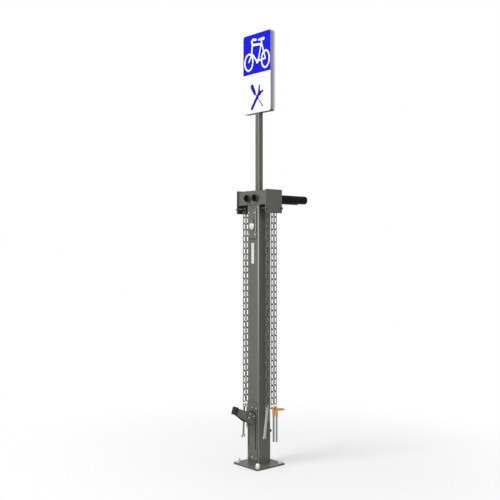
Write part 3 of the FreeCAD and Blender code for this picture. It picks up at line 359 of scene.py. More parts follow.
def wear_group():
    """Bare metal along edges, broken up by noise."""
    g, given, out = shader_group(
        "Edge Wear", {"Color": ANY_COLOUR, "Bare": ANY_COLOUR, "Width": 0.001, "Amount": 0.3},
        ("Color", "Mask"))
    rounded = g.add("Bevel", {"Radius": given["Width"]}, samples=4).outputs["Normal"]
    facing = g.vector("DOT_PRODUCT", rounded, g.normal())["Value"]
    edge = g.spread(g.math("SUBTRACT", 1.0, facing), 0.02, 0.16)
    broken = g.noise(g.place(), 160.0, 4.0)
    kept = g.spread(g.math("ADD", broken, g.math("MULTIPLY", given["Amount"], 0.4)), 0.55, 0.72)
    mask = g.math("MULTIPLY", edge, kept, clamp=True)
    g.join(g.mix(mask, given["Color"], given["Bare"]), out["Color"])
    g.join(mask, out["Mask"])


def corner_highlight_group():
    """Painted highlight: lighter paint on rounded upright corners, full above 1.25 m and a quarter of it
    below 0.45 m.
    """
    g, given, out = shader_group(
        "Corner Highlight", {"Color": ANY_COLOUR, "Rubbed": ANY_COLOUR, "Amount": 0.5}, ("Color",))
    facing = g.split(g.normal())
    corner = g.spread(g.math("ABSOLUTE", g.math("MULTIPLY", facing["X"], facing["Y"])), 0.08, 0.40)
    highlight_height = g.spread(g.split(g.place())["Z"], 0.45, 1.25, 0.25, 1.0)
    mask = g.math("MULTIPLY", g.math("MULTIPLY", corner, highlight_height), given["Amount"], clamp=True)
    g.join(g.mix(mask, given["Color"], given["Rubbed"]), out["Color"])


def dust_group():
    """Dust that thins out with height and lies on what faces up."""
    g, given, out = shader_group(
        "Dust", {"Color": ANY_COLOUR, "Dust": ANY_COLOUR, "Height": 0.2, "Amount": 0.3}, ("Color",))
    place = g.place()
    low = g.math("SUBTRACT", 1.0, g.math("DIVIDE", g.split(place)["Z"], given["Height"]), clamp=True)
    ledge = g.spread(g.split(g.normal())["Z"], 0.6, 1.0, 0.0, 0.5)
    cloud = g.spread(g.noise(place, 38.0, 5.0), 0.35, 0.75)
    lying = g.math("MULTIPLY", g.math("MAXIMUM", low, ledge), cloud)
    mask = g.math("MULTIPLY", lying, given["Amount"], clamp=True)
    g.join(g.mix(mask, given["Color"], given["Dust"]), out["Color"])


def cavity_shade_group():
    """Painted shade: darkens what lies deep between other pieces, by ambient occlusion."""
    g, given, out = shader_group("Cavity Shade", {"Color": ANY_COLOUR, "Reach": 0.05, "Least": 0.3}, ("Color",))
    open_share = g.add("AmbientOcclusion", {"Distance": given["Reach"]}, samples=6).outputs["AO"]
    kept = g.spread(open_share, 0.15, 0.62, given["Least"])
    g.join(g.mix(kept, (0.004, 0.004, 0.004, 1), given["Color"]), out["Color"])


def grain_group():
    """Noise that can be drawn out along an axis: ripples, brushing, foam."""
    g, given, out = shader_group("Grain", {"Size": 0.001, "Stretch": (1.0, 1.0, 1.0)}, ("Height",))
    drawn = g.vector("MULTIPLY", g.place(), given["Stretch"])["Vector"]
    g.join(g.noise(drawn, g.math("DIVIDE", 1.0, given["Size"]), 3.0), out["Height"])


def rough_group():
    """Roughness that wanders about a value, with rub marks."""
    g, given, out = shader_group(
        "Rub Marks", {"Roughness": 0.4, "Spread": 0.1, "Size": 0.03}, ("Roughness",))
    place = g.place()
    smear = g.noise(place, g.math("DIVIDE", 1.0, given["Size"]), 4.0)
    streaks = g.noise(g.vector("MULTIPLY", place, (260.0, 190.0, 9.0))["Vector"], 1.0)
    both = g.math("SUBTRACT", g.math("ADD", smear, g.math("MULTIPLY", streaks, 0.4)), 0.7)
    found = g.math("ADD", given["Roughness"], g.math("MULTIPLY", both, given["Spread"]), clamp=True)
    g.join(found, out["Roughness"])


def fold_shade_group():
    """Painted reflection: a darker band beside a front edge that fades to the given colour behind it; painted
    shade, near black, on what faces down.
    """
    g, given, out = shader_group(
        "Fold Shade", {"Color": ANY_COLOUR, "Shade": ANY_COLOUR, "Front": 0.0, "Depth": 0.02}, ("Color",))
    past = g.math("SUBTRACT", g.split(g.place())["Y"], given["Front"])
    behind = g.spread(g.math("DIVIDE", past, given["Depth"]), 0.3, 1.0)
    under = g.spread(g.split(g.normal())["Z"], -0.9, -0.5)
    underside_shade = g.mix(under, (0.03, 0.03, 0.03, 1), given["Shade"])
    g.join(g.mix(g.math("MULTIPLY", behind, under), underside_shade, given["Color"]), out["Color"])


GROUP_MAKERS = {"Fold Shade": fold_shade_group, "Tone": tone_group, "Edge Wear": wear_group,
                "Corner Highlight": corner_highlight_group, "Dust": dust_group, "Cavity Shade": cavity_shade_group,
                "Grain": grain_group, "Rub Marks": rough_group}


def opaque(rgb):
    return (*rgb, 1.0)


def finish(name, rgb, roughness, metallic=0.0, spread=0.12, vary=0.12, size=0.08, grain=0.001,
           stretch=(1.0, 1.0, 1.0), depth=0.1, coat=0.0, specular=0.5, effects=None):
    """Material of one finish, whose effects are shader groups that change its colour in turn."""
    material = bpy.data.materials.get(name) or bpy.data.materials.new(name)
    material.use_nodes = True
    material.diffuse_color = opaque(rgb)
    material.node_tree.nodes.clear()
    g = Graph(material.node_tree)
    shader = g.add("BsdfPrincipled", {"Metallic": metallic, "Coat Weight": coat,
                                      "Specular IOR Level": specular})
    g.add("OutputMaterial", {"Surface": shader.outputs[0]})

    def grouped(kind, inputs):
        return g.add("Group", inputs, node_tree=bpy.data.node_groups[kind]).outputs

    tint = opaque(rgb)
    for kind, inputs in {"Tone": {"Variation": vary, "Size": size}, **(effects or {})}.items():
        made = grouped(kind, {"Color": tint, **inputs})
        tint = made["Color"]
        if "Mask" in made:
            g.join(made["Mask"], shader.inputs["Metallic"])
    g.join(tint, shader.inputs["Base Color"])
    rough = grouped("Rub Marks", {"Roughness": roughness, "Spread": spread, "Size": size * 0.5})
    g.join(rough["Roughness"], shader.inputs["Roughness"])
    relief = grouped("Grain", {"Size": grain, "Stretch": stretch})["Height"]
    bump = g.add("Bump", {"Height": relief, "Strength": depth, "Distance": grain * 0.3})
    g.join(bump.outputs["Normal"], shader.inputs["Normal"])


# Mesh tools

def mesh_object(name, bm, group):
    """Object made from a bmesh, in a collection."""
    mesh = bpy.data.meshes.new(name)
    bm.to_mesh(mesh)
    bm.free()
    thing = bpy.data.objects.new(name, mesh)
    group.objects.link(thing)
    return thing


def rim_edges(verts):
    return list({edge for vert in verts for edge in vert.link_edges})


def only(kind, items):
    return [item for item in items if isinstance(item, kind)]


def piece(name, bm, slot, body="stand", nodes=(), finish_name=None, angle=35.0):
    """Turns a bmesh into a piece that rides on a body, in its slot's material or its own finish."""
    thing = mesh_object(name, bm, bpy.context.scene.collection)
    thing.data.shade_smooth()
    thing.data.set_sharp_from_angle(angle=math.radians(angle))
    thing.data.materials.append(bpy.data.materials[finish_name or slot])
    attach(thing, body)
    if nodes:
        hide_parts(*nodes)
    return thing


def soften(node, width, segments):
    """Copy of a CAD node with its corners rounded, which stands for the node."""
    bm = bmesh.new()
    bm.from_mesh(frame["nodes"][node].data)
    bmesh.ops.remove_doubles(bm, verts=bm.verts, dist=1e-6)
    bmesh.ops.dissolve_limit(bm, angle_limit=math.radians(FLAT_ANGLE), verts=bm.verts, edges=bm.edges)
    thing = piece(node + "_edged", bm, SLOT_OF[node], BODY_OF[node], (node,), OWN_FINISH.get(node),
                  EDGE_ANGLE)
    bevel = thing.modifiers.new("Edges", "BEVEL")
    bevel.width = width
    bevel.segments = segments
    bevel.limit_method = "ANGLE"
    bevel.angle_limit = math.radians(EDGE_ANGLE)
    bevel.use_clamp_overlap = False
    bevel.harden_normals = True


def upright(origin, axis):
    """Matrix that puts +Z along an axis at an origin."""
    return Matrix.Translation(origin) @ axis.to_track_quat("Z", "Y").to_matrix().to_4x4()


def stack(bm, rings, place, steps, closed=False):
    """Skin over rings of (radius, height) in millimetres, or (radius, height, True) for a hexagon.

    The first and the last ring are filled, or joined to each other.
    """
    sixth = math.pi / 3

    def lay(verts, radius, height, hexagonal=False):
        for index, vert in enumerate(verts):
            angle = 2 * math.pi * index / steps
            r = radius / math.cos((angle + sixth / 2) % sixth - sixth / 2) if hexagonal else radius
            vert.co = place @ (Vector((r * math.cos(angle), r * math.sin(angle), height)) * MM)

    first = bmesh.ops.create_circle(bm, segments=steps, radius=1.0)["verts"]
    lay(first, *rings[0])
    start = rim_edges(first)
    edges, verts = start, first
    for ring in rings[1:]:
        made = bmesh.ops.extrude_edge_only(bm, edges=edges)["geom"]
        fresh = set(only(bmesh.types.BMVert, made))
        verts = [edge.other_vert(vert) for vert in verts for edge in vert.link_edges
                 if edge.other_vert(vert) in fresh]
        edges = [edge for edge in only(bmesh.types.BMEdge, made) if fresh.issuperset(edge.verts)]
        lay(verts, *ring)
    if closed:
        bmesh.ops.bridge_loops(bm, edges=start + edges)
    else:
        for loop in (start, edges):
            bmesh.ops.edgeloop_fill(bm, edges=loop)
    bmesh.ops.recalc_face_normals(bm, faces=bm.faces)


def rounded_end(radius, height, bend, turns):
    """Rings that bend a cylinder's wall into its end face."""
    angles = [math.pi / 2 * index / turns for index in range(turns + 1)]
    return [(radius - bend * (1 - math.cos(a)), height - bend * (1 - math.sin(a))) for a in angles]


def sweep(bm, path, radii):
    """Round section carried round a closed list of points, its radius given per point."""
    rings = []
    for index, (point, radius) in enumerate(zip(path, radii)):
        place = upright(point, (path[(index + 1) % len(path)] - path[index - 1]).normalized())
        rim = bmesh.ops.create_circle(bm, segments=BAR_SIDES, radius=radius, matrix=place)["verts"]
        rings.append(rim_edges(rim))
    for rim, following in zip(rings, rings[1:] + rings[:1]):
        bmesh.ops.bridge_loops(bm, edges=rim + following)
    bmesh.ops.recalc_face_normals(bm, faces=bm.faces)


def round_bar(bm, start, centre, axis, radius, angle, steps):
    """Round bar bent about an axis from a start; returns the edges of its first and last rim."""
    place = upright(start, axis.cross(start - centre).normalized())
    rim = bmesh.ops.create_circle(bm, segments=BAR_SIDES, radius=radius, matrix=place)["verts"]
    first = rim_edges(rim)
    whole = math.isclose(angle, 2 * math.pi)
    spun = bmesh.ops.spin(bm, geom=rim + first, cent=centre, axis=axis, angle=angle, steps=steps,
                          dvec=(0, 0, 0), use_merge=whole, use_normal_flip=False, use_duplicate=False)
    bmesh.ops.recalc_face_normals(bm, faces=bm.faces)
    return first, only(bmesh.types.BMEdge, spun["geom_last"])


def square_path(half, corner, level, pitch):
    """Points round a square with round corners, evenly spaced."""
    straight = half - corner
    points = []
    for quarter in range(4):
        turn = Matrix.Rotation(quarter * math.pi / 2, 3, "Z")
        runs = max(2, round(2 * straight / pitch))
        for index in range(runs):
            points.append(turn @ Vector((half, -straight + 2 * straight * index / runs, level)))
        bends = max(2, round(corner * math.pi / 2 / pitch))
        for index in range(bends):
            angle = math.pi / 2 * index / bends
            x, y = straight + corner * math.cos(angle), straight + corner * math.sin(angle)
            points.append(turn @ Vector((x, y, level)))
    return points


def weld(name, half, corner, level, settings):
    """Rippled bead round the foot of a square tube."""
    path = square_path(half, corner, level, settings.ripple / 2)
    trough, crest = 0.94 * settings.bead / 2, 1.10 * settings.bead / 2
    bm = bmesh.new()
    sweep(bm, path, [crest if index % 2 else trough for index in range(len(path))])
    piece(name, bm, "stand_paint", angle=60.0)


def socket_screw(bm, origin, out, head, settings):
    """Button head with a hex socket, its place, radius and height given in millimetres."""
    radius, height = head
    hole = radius * settings.socket
    rings = [(radius * 0.96, 0.0)]
    for a in (0.0, 0.35, 0.7, 1.0):
        rings.append((radius * math.cos(a), height * (0.15 + 0.85 * math.sin(a))))
    rings += [(hole * 1.25, height), (hole, height * 0.94, True), (hole * 0.97, height * 0.35, True)]
    stack(bm, rings, upright(Vector(origin) * MM, out), settings.steps)


def hex_nut(bm, place, steps, size, thick, bore, chamfer):
    """Nut from z = 0 up, in millimetres, whose size is half its width across the flats."""
    narrow = size - NUT_SLOPE
    rings = [(narrow, 0.0, True), (size, chamfer, True), (size, thick - chamfer, True), (narrow, thick, True),
             (bore, thick), (bore, 0.0)]
    stack(bm, rings, place, steps, closed=True)


# Painted shade in hollows and between parts
def painted_cavity_shade(reach):
    return {"Cavity Shade": {"Reach": reach, "Least": 0.06}}


def dust(paint, height, amount):
    return {"Dust": {"Dust": opaque(paint.dust), "Height": height, "Amount": amount}}


def make_finishes(settings):
    """Every finish, each named for its slot or for the nodes that have their own."""
    for kind, maker in GROUP_MAKERS.items():
        if kind not in bpy.data.node_groups:
            maker()
    paint, metal, plastic, sign = settings.paint, settings.metal, settings.plastic, settings.sign
    wear = {"Edge Wear": {"Bare": opaque(paint.bare), "Width": 0.0009, "Amount": paint.wear}}
    # Painted highlight on rounded upright corners
    rub = {"Corner Highlight": {"Rubbed": opaque(paint.rubbed), "Amount": paint.rub}}
    # Stand paint: edge wear and dust, with painted shade in hollows
    finish("stand_paint", paint.tone, paint.gloss, spread=0.16, vary=0.10, size=0.16, grain=paint.peel,
           depth=0.22, specular=0.45,
           effects={**wear, **rub, **dust(paint, paint.dust_height, 0.22), **painted_cavity_shade(0.15)})
    finish("white_plastic", plastic.cap, 0.30, vary=0.02, grain=0.004, depth=0.05, coat=0.3)
    finish("fastener_steel", metal.bright, 0.30, metallic=0.9, vary=0.10, size=0.01, grain=metal.grain,
           depth=0.08)
    finish("label_strip", plastic.label, 0.45, vary=0.05, size=0.03, grain=0.0008, depth=0.08, specular=0.3)
    finish("lock_metal", metal.casting, 0.42, metallic=0.6, vary=0.2, size=0.02, grain=0.0009, depth=0.3)
    finish("flap_chrome", metal.chrome, 0.16, metallic=0.3, spread=0.06, vary=0.03, grain=0.006, depth=0.04)
    finish("arm_rubber", plastic.grip, 0.7, vary=0.25, size=0.05, grain=0.0011, depth=0.6, specular=0.12)
    finish("black_plastic", plastic.plug, 0.5, vary=0.15, size=0.03, grain=0.0006, depth=0.15, specular=0.05)
    finish("pedal_rubber", plastic.pad, 0.66, vary=0.3, size=0.03, grain=0.0012, depth=0.5, specular=0.2,
           effects=dust(paint, 0.5, 0.14))
    finish("pump_aluminium", (0.72, 0.73, 0.74), 0.34, metallic=1.0, grain=0.0006, stretch=(1, 1, 0.08),
           depth=0.2)
    finish("rod_chrome", metal.chrome, 0.14, metallic=1.0, spread=0.05, grain=0.004, depth=0.03)
    finish("seal_rubber", plastic.pad, 0.5, vary=0.2, grain=0.001, depth=0.2)
    finish("guide_brass", (0.70, 0.48, 0.20), 0.32, metallic=1.0, grain=0.0007, stretch=(1, 1, 0.1),
           depth=0.2)
    finish("spring_steel", (0.34, 0.34, 0.34), 0.36, metallic=1.0, grain=0.0008, depth=0.2)
    finish("pipe_brass", (0.66, 0.37, 0.20), 0.34, metallic=1.0, vary=0.2, grain=0.001, depth=0.15)
    for name, rgb in (("film_blue", sign.blue), ("film_navy", sign.navy), ("film_white", sign.white)):
        finish(name, rgb, 0.48, vary=0.04, size=0.05, spread=0.06, grain=0.0009, depth=0.05, specular=0.06)
    # Painted reflection on the tray's return, and painted shade on its underside
    fold = {"Shade": opaque(sign.fold), "Front": node_box("sign_tray")[0].y, "Depth": sign.shade_reach}
    finish("sign_metal", sign.back, 0.40, vary=0.06, size=0.06, grain=0.0005, stretch=(0.05, 1, 1),
           depth=0.2, effects={"Fold Shade": fold})
    # Chain zinc, with painted shade where the links lie deep among each other
    finish("chain_zinc", metal.zinc, 0.38, metallic=0.6, spread=0.2, vary=0.5, size=0.02, grain=0.0012,
           depth=0.25, effects=painted_cavity_shade(0.05))
    for name, rgb in (("key_steel", metal.key), ("tool_steel", metal.tool)):
        finish(name, rgb, 0.42, metallic=0.55, spread=0.18, vary=0.18, size=0.02, grain=metal.grain,
               stretch=(1, 1, 0.12), depth=0.2)
    # Partly painted shade: near black bar steel, with painted shade in its hollows
    finish("bar_steel", metal.bar, 0.45, metallic=0.2, vary=0.2, size=0.02, grain=0.001, depth=0.15,
           effects=painted_cavity_shade(0.1))
    # Orange sleeves, with painted shade where they lie against each other
    finish("sleeve_orange", plastic.key, 0.45, size=0.02, grain=0.0009, depth=0.15, specular=0.25,
           effects=painted_cavity_shade(0.012))
    finish("handle_plastic", plastic.handle, 0.36, vary=0.1, size=0.02, grain=0.0009, depth=0.15, coat=0.2)


class StationOperator:
    """What every operator of this add-on shares."""
    bl_options = {"REGISTER", "UNDO"}


class STATION_OT_finishes(StationOperator, Operator):
    """Makes every finish and gives it to the frame's parts"""
    bl_idname = "station.finishes"
    bl_label = "Finishes"

    def execute(self, context):
        make_finishes(context.scene.repair_station)
        for name, part in frame["nodes"].items():
            material = bpy.data.materials[OWN_FINISH.get(name, SLOT_OF[name])]
            if part.material_slots:
                for slot in part.material_slots:
                    slot.material = material
            else:
                part.data.materials.append(material)
        return {"FINISHED"}


class STATION_OT_sheets(StationOperator, Operator):
    """Rounds the cut edges of plates, covers, tubes and brackets"""
    bl_idname = "station.sheets"
    bl_label = "Plates and Covers"

    def execute(self, context):
        for part, nodes in EDGE_SHARES:
            for node in nodes:
                soften(node, context.scene.repair_station.paint.edge * part, 2)
        return {"FINISHED"}


class STATION_OT_welds(StationOperator, Operator):
    """Lays weld beads round the feet of the column and the pole"""
    bl_idname = "station.welds"
    bl_label = "Weld Beads"

    def execute(self, context):
        for node, corner in (("column", COLUMN_CORNER), ("pole", POLE_CORNER)):
            low, high = node_box(node)
            half = (high.x - low.x) / 2
            weld(node + "_weld", half, corner * MM, low.z, context.scene.repair_station.screw)
        return {"FINISHED"}


class STATION_OT_caps(StationOperator, Operator):
    """Makes the white domes over the anchor bolts"""
    bl_idname = "station.caps"
    bl_label = "Anchor Caps"

    def execute(self, context):
        low, high = node_box("anchor_caps")
        radius, hollow = CAP_RADIUS, CAP_RADIUS - CAP_WALL
        pitch = high.x - radius * MM
        straight = (high.z - low.z) / MM - radius
        rings = [(radius * 0.98, 0.0), (radius, 0.6), (radius, straight)]
        for r, angles in ((radius, (0.25, 0.5, 0.75, 1.0, 1.25, 1.45)), (hollow, (1.4, 1.05, 0.7, 0.35))):
            rings += [(r * math.cos(a), straight + r * math.sin(a)) for a in angles]
        rings += [(hollow, straight), (hollow, 0.0)]
        bm = bmesh.new()
        for sx in SIDES:
            for sy in SIDES:
                place = Matrix.Translation((sx * pitch, sy * pitch, low.z))
                stack(bm, rings, place, steps=28, closed=True)
        piece("anchor_domes", bm, "white_plastic", nodes=("anchor_caps",))
        return {"FINISHED"}


class STATION_OT_screws(StationOperator, Operator):
    """Makes the screws of the covers and the pedal, and the nut on the rod"""
    bl_idname = "station.screws"
    bl_label = "Screws and Bolts"

    def execute(self, context):
        screw = context.scene.repair_station.screw
        bm = bmesh.new()
        for cover, head, places in (("pump_cover", COVER_HEAD, PUMP_SCREWS),
                                    ("upper_cover", COVER_HEAD, UPPER_SCREWS),
                                    ("upper_cover", LOCK_HEAD, (LOCK_SCREW,))):
            face = node_box(cover)[0].y / MM
            for x, z in places:
                socket_screw(bm, (x, face, z), FRONT, head, screw)
        piece("cover_button_screws", bm, "fastener_steel", nodes=("cover_screws",), angle=40.0)

        bm = bmesh.new()
        face = node_box("pedal_carriage")[1].x / MM
        for side in SIDES:
            for y, z in PEDAL_BOLTS:
                socket_screw(bm, (side * face, y, z), RIGHT * side, PEDAL_HEAD, screw)
        under = node_box("piston_rod")[1].z - ROD_NUT_T * MM
        place = Matrix.Translation((0, ROD_Y * MM, under))
        hex_nut(bm, place, screw.steps, size=8.0, thick=ROD_NUT_T, bore=5.1, chamfer=0.6)
        piece("pedal_button_bolts", bm, "fastener_steel", "pedal", ("pedal_bolts",), angle=40.0)
        return {"FINISHED"}


class STATION_OT_bar_nuts(StationOperator, Operator):
    """Makes the cap nuts and plain nuts on the ends of the chain bars"""
    bl_idname = "station.bar_nuts"
    bl_label = "Chain Bar Nuts"

    def execute(self, context):
        steps = context.scene.repair_station.screw.steps
        inner, face = (corner.x for corner in node_box("head_side_right"))
        cap = [(5.9, 0.0, True), (6.5, 0.5, True), (6.5, 5.6, True), (5.7, 6.2), (5.6, 7.0)]
        cap += [(5.6 * math.cos(a), 7.0 + 5.6 * math.sin(a)) for a in (0.3, 0.6, 0.9, 1.2, 1.45)]
        bm = bmesh.new()
        for side in SIDES:
            out = RIGHT * side
            for y in (-BAR_END_Y, BAR_END_Y):
                centre = Vector((0, y * MM, BAR_Z * MM))
                stack(bm, cap, upright(centre + out * face, out), steps)
                place = upright(centre + out * inner, -out)
                hex_nut(bm, place, steps, size=6.5, thick=6.0, bore=4.06, chamfer=0.5)
        piece("chain_bar_cap_nuts", bm, "fastener_steel", nodes=("chain_bar_nuts",),
              finish_name=OWN_FINISH["chain_bar_nuts"], angle=40.0)
        return {"FINISHED"}


class STATION_OT_arms(StationOperator, Operator):
    """Makes the foam rubber sleeves and the plugs of the hanging arms"""
    bl_idname = "station.arms"
    bl_label = "Arm Sleeves and Plugs"

    def execute(self, context):
        plugs = bmesh.new()
        for side in ("left", "right"):
            low, high = node_box("arm_sleeve_" + side)
            tube_low, tube_high = node_box("arm_tube_" + side)
            end_low, end_high = node_box("arm_end_caps")
            radius, bore = (high.x - low.x) / 2 / MM, (tube_high.x - tube_low.x) / 2 / MM
            x, z = (low.x + high.x) / 2, (low.z + high.z) / 2
            bm = bmesh.new()
            rings = self.sleeve(radius, bore, (high.y - low.y) / MM)
            stack(bm, rings, upright(Vector((x, low.y, z)), REAR), steps=40, closed=True)
            piece("arm_grip_" + side, bm, "arm_rubber", nodes=("arm_sleeve_" + side,))
            for y, out, size, thick, bend in ((tube_low.y, FRONT, bore - 0.3, tube_low.y - end_low.y, 0.5),
                                              (tube_high.y, REAR, radius, end_high.y - tube_high.y, 0.75)):
                rings = self.plug(size, thick / MM, bend)
                stack(plugs, rings, upright(Vector((x, y, z)), out), steps=40)
        piece("arm_plugs", plugs, "black_plastic", nodes=("arm_end_caps",))
        return {"FINISHED"}

    def sleeve(self, radius, bore, span):
        """Rings of a sleeve with four grooves near each end, in millimetres."""
        rings = [(bore + 0.05, 0.0), (radius - 1.2, 0.0), (radius - 0.3, 0.4), (radius, 1.4)]
        for start in GROOVE_STARTS:
            for offset, depth in ((0.0, 0.0), (0.7, GROOVE_DEPTH), (1.4, GROOVE_DEPTH), (2.1, 0.0)):
                rings.append((radius - depth, start + offset))
        return rings + [(r, span - y) for r, y in reversed(rings)]

    def plug(self, size, thick, bend):
        """Rings of a plug whose rounding is a share of its thickness, in millimetres."""
        rings = [(size - 0.4, 0.0), (size, 0.3)] + rounded_end(size, thick, thick * bend, 6)
        return rings + [(size * 0.55, thick), (size * 0.52, thick - 0.4)]


def film_stroke(bm, bar, unit, back, thick):
    """Flat bar with round ends on the sign's face, its half widths given in a unit of millimetres."""
    start, end, *halves = bar
    rims = []
    for (x, z), half in ((start, halves[0]), (end, halves[-1])):
        for out in (0.0, thick):
            place = upright(Vector((x * MM, back - out, z * MM)), FRONT)
            rims += bmesh.ops.create_circle(bm, segments=20, radius=half * unit * MM, matrix=place)["verts"]
    bmesh.ops.convex_hull(bm, input=rims)
    drop_loose(bm)


def film_ring(bm, wheel, stroke, back, thick):
    """Flat oval ring on the sign's face."""
    (x, z), wide, tall = wheel
    place = upright(Vector((x * MM, back, z * MM)), FRONT)
    rims = []
    for less in (0.0, stroke):
        shape = Matrix.Diagonal(((wide - less) * MM, (tall - less) * MM, 1.0, 1.0))
        rims += rim_edges(bmesh.ops.create_circle(bm, segments=64, radius=1.0, matrix=place @ shape)["verts"])
    flat = bmesh.ops.bridge_loops(bm, edges=rims)["faces"]
    made = bmesh.ops.extrude_face_region(bm, geom=flat)["geom"]
    bmesh.ops.translate(bm, verts=only(bmesh.types.BMVert, made), vec=FRONT * thick)


def drop_loose(bm):
    """Takes out edges and corners that belong to no face."""
    bmesh.ops.delete(bm, geom=[edge for edge in bm.edges if not edge.link_faces], context="EDGES")
    bmesh.ops.delete(bm, geom=[vert for vert in bm.verts if not vert.link_edges], context="VERTS")


def film_part(shape, group):
    """Object of one flat part, given as a function and its values, in a collection."""
    draw, *values = shape
    bm = bmesh.new()
    draw(bm, *values)
    bmesh.ops.recalc_face_normals(bm, faces=bm.faces)
    return mesh_object("part", bm, group)


def film_symbol(name, parts, slot, cuts=(), finish_name=None):
    """Joins flat parts into one symbol and takes the cuts out of it."""
    collection = bpy.context.scene.collection
    base = film_part(parts[0], collection)
    groups = []
    for operation, shapes in (("UNION", parts[1:]), ("DIFFERENCE", cuts)):
        if shapes:
            group = bpy.data.collections.new(operation)
            collection.children.link(group)
            groups.append(group)
            for shape in shapes:
                film_part(shape, group)
            merge = base.modifiers.new(operation, "BOOLEAN")
            merge.operation = operation
            merge.solver = "EXACT"
            merge.operand_type = "COLLECTION"
            merge.collection = group
    bpy.context.view_layer.update()
    ready = bpy.data.meshes.new_from_object(base.evaluated_get(bpy.context.evaluated_depsgraph_get()))
    bm = bmesh.new()
    bm.from_mesh(ready)
    bmesh.ops.remove_doubles(bm, verts=bm.verts, dist=5e-6)
    drop_loose(bm)
    open_edges = [edge for edge in bm.edges if len(edge.link_faces) != 2]
    if open_edges or not bm.faces:
        raise RuntimeError("%s has %d open edges" % (name, len(open_edges)))
    bpy.data.meshes.remove(ready)
    for thing in [base] + [thing for group in groups for thing in group.objects]:
        bpy.data.meshes.remove(thing.data)
    for group in groups:
        bpy.data.collections.remove(group)
    piece(name, bm, slot, finish_name=finish_name, angle=EDGE_ANGLE)


class STATION_OT_symbols(StationOperator, Operator):
    """Cuts the bicycle and tools symbols for the sign"""
    bl_idname = "station.symbols"
    bl_label = "Sign Symbols"

    def execute(self, context):
        sign = context.scene.repair_station.sign
        stroke = sign.stroke / MM
        film = (node_box("sign_film_upper")[0].y, sign.film)
        bicycle = [(film_ring, wheel, stroke, *film) for wheel in BICYCLE_WHEELS]
        bicycle += [(film_stroke, bar, stroke / 2, *film) for bar in BICYCLE_BARS]
        film_symbol("bicycle_symbol", bicycle, "film_white")
        tools = [(film_stroke, bar, 1.0, *film) for bar in TOOL_BARS]
        jaw = [(film_stroke, JAW_BAR, 1.0, *film)]
        film_symbol("tools_symbol", tools, "film_blue", jaw, "film_navy")
        return {"FINISHED"}


class STATION_OT_chains(StationOperator, Operator):
    """Makes the six chains of long links and the rings they hang on"""
    bl_idname = "station.chains"
    bl_label = "Chains"

    def execute(self, context):
        chain = context.scene.repair_station.chain
        for node in sorted(name for name in frame["nodes"] if name.startswith("chain_")):
            if BODY_OF[node] == "stand":
                continue
            low, high = node_box(node)
            middle = (low + high) / 2
            bm = bmesh.new()
            radius = chain.ring_hole + chain.ring_wire / 2
            centre = Vector((middle.x, middle.y, high.z - radius - chain.ring_wire / 2))
            round_bar(bm, centre + UP * radius, centre, REAR, chain.ring_wire / 2, 2 * math.pi, steps=20)
            for index in range(chain.links):
                level = centre.z - chain.ring_hole - (index + 0.5) * chain.pitch
                self.link(bm, Vector((middle.x, middle.y, level)), index % 2, chain)
            piece(node + "_links", bm, "chain_zinc", BODY_OF[node], (node,), angle=60.0)
        return {"FINISHED"}

    def link(self, bm, centre, turned, chain):
        """One long link: two half rings joined by two straight wires."""
        wire = chain.wire / 2
        bend = chain.width / 2 - wire
        half = chain.pitch / 2 + wire - bend
        across, axis = (RIGHT, FRONT) if turned else (REAR, RIGHT)
        top, bottom = (round_bar(bm, centre + way * (UP * half + across * bend), centre + way * half * UP,
                                 axis, wire, math.pi, steps=5) for way in (1, -1))
        bmesh.ops.bridge_loops(bm, edges=top[0] + bottom[1])
        bmesh.ops.bridge_loops(bm, edges=top[1] + bottom[0])


class STATION_OT_tools(StationOperator, Operator):
    """Rounds the edges of the hand tools"""
    bl_idname = "station.tools"
    bl_label = "Hand Tools"

    def execute(self, context):
        for node, (width, segments) in TOOL_EDGES.items():
            soften(node, width * MM, segments)
        return {"FINISHED"}


class STATION_OT_hose(StationOperator, Operator):
    """Makes the air hose's connection on the rear of the column"""
    bl_idname = "station.hose"
    bl_label = "Hose Connection"

    def execute(self, context):
        low, high = node_box("hose_gland")
        centre = Vector(((low.x + high.x) / 2, low.y, (low.z + high.z) / 2))
        reach, wall = (high.y - low.y) / MM, (node_box("column")[1].y - low.y) / MM
        rings = [(2.5, 0.0), (11.6, 0.0), (12.0, 0.4), (12.0, 2.4), (7.9, 2.5), (7.9, wall - 0.05),
                 (10.0, wall - 0.05, True), (10.35, wall + 0.5, True), (10.35, wall + 5.2, True),
                 (9.9, wall + 5.8, True), (9.2, wall + 6.0)]
        for index in range(4):
            less, foot = index * BARB_TAPER, wall + 7.0 + index * BARB_PITCH
            for radius, rise in ((8.9, 0.0), (8.9, 1.3), (8.1, 1.6), (8.1, 2.3)):
                rings.append((radius - less, foot + rise))
        rings += [(6.4, reach - 1.0), (5.6, reach), (3.1, reach), (2.5, reach - 0.6)]
        bm = bmesh.new()
        stack(bm, rings, upright(centre, REAR), steps=36, closed=True)
        piece("hose_connection", bm, "black_plastic", nodes=("hose_gland",), angle=40.0)
        return {"FINISHED"}


def area_lamp(name, watts, place, target, size):
    """Rectangular lamp turned to a target."""
    light = bpy.data.lights.new(name, "AREA")
    light.shape = "RECTANGLE"
    light.size, light.size_y = size
    light.energy = watts
    thing = bpy.data.objects.new(name, light)
    thing.location = place
    thing.rotation_euler = (Vector(target) - Vector(place)).to_track_quat("-Z", "Y").to_euler()
    bpy.context.scene.collection.objects.link(thing)
    return thing


def seen_share(g, mirror):
    """1 where the camera looks, 0 for the light that falls on the object, and a share for reflections."""
    path = g.add("LightPath").outputs
    seen = g.math("MAXIMUM", path["Is Camera Ray"], path["Is Transmission Ray"])
    return g.math("MAXIMUM", seen, g.math("MULTIPLY", path["Is Glossy Ray"], mirror))


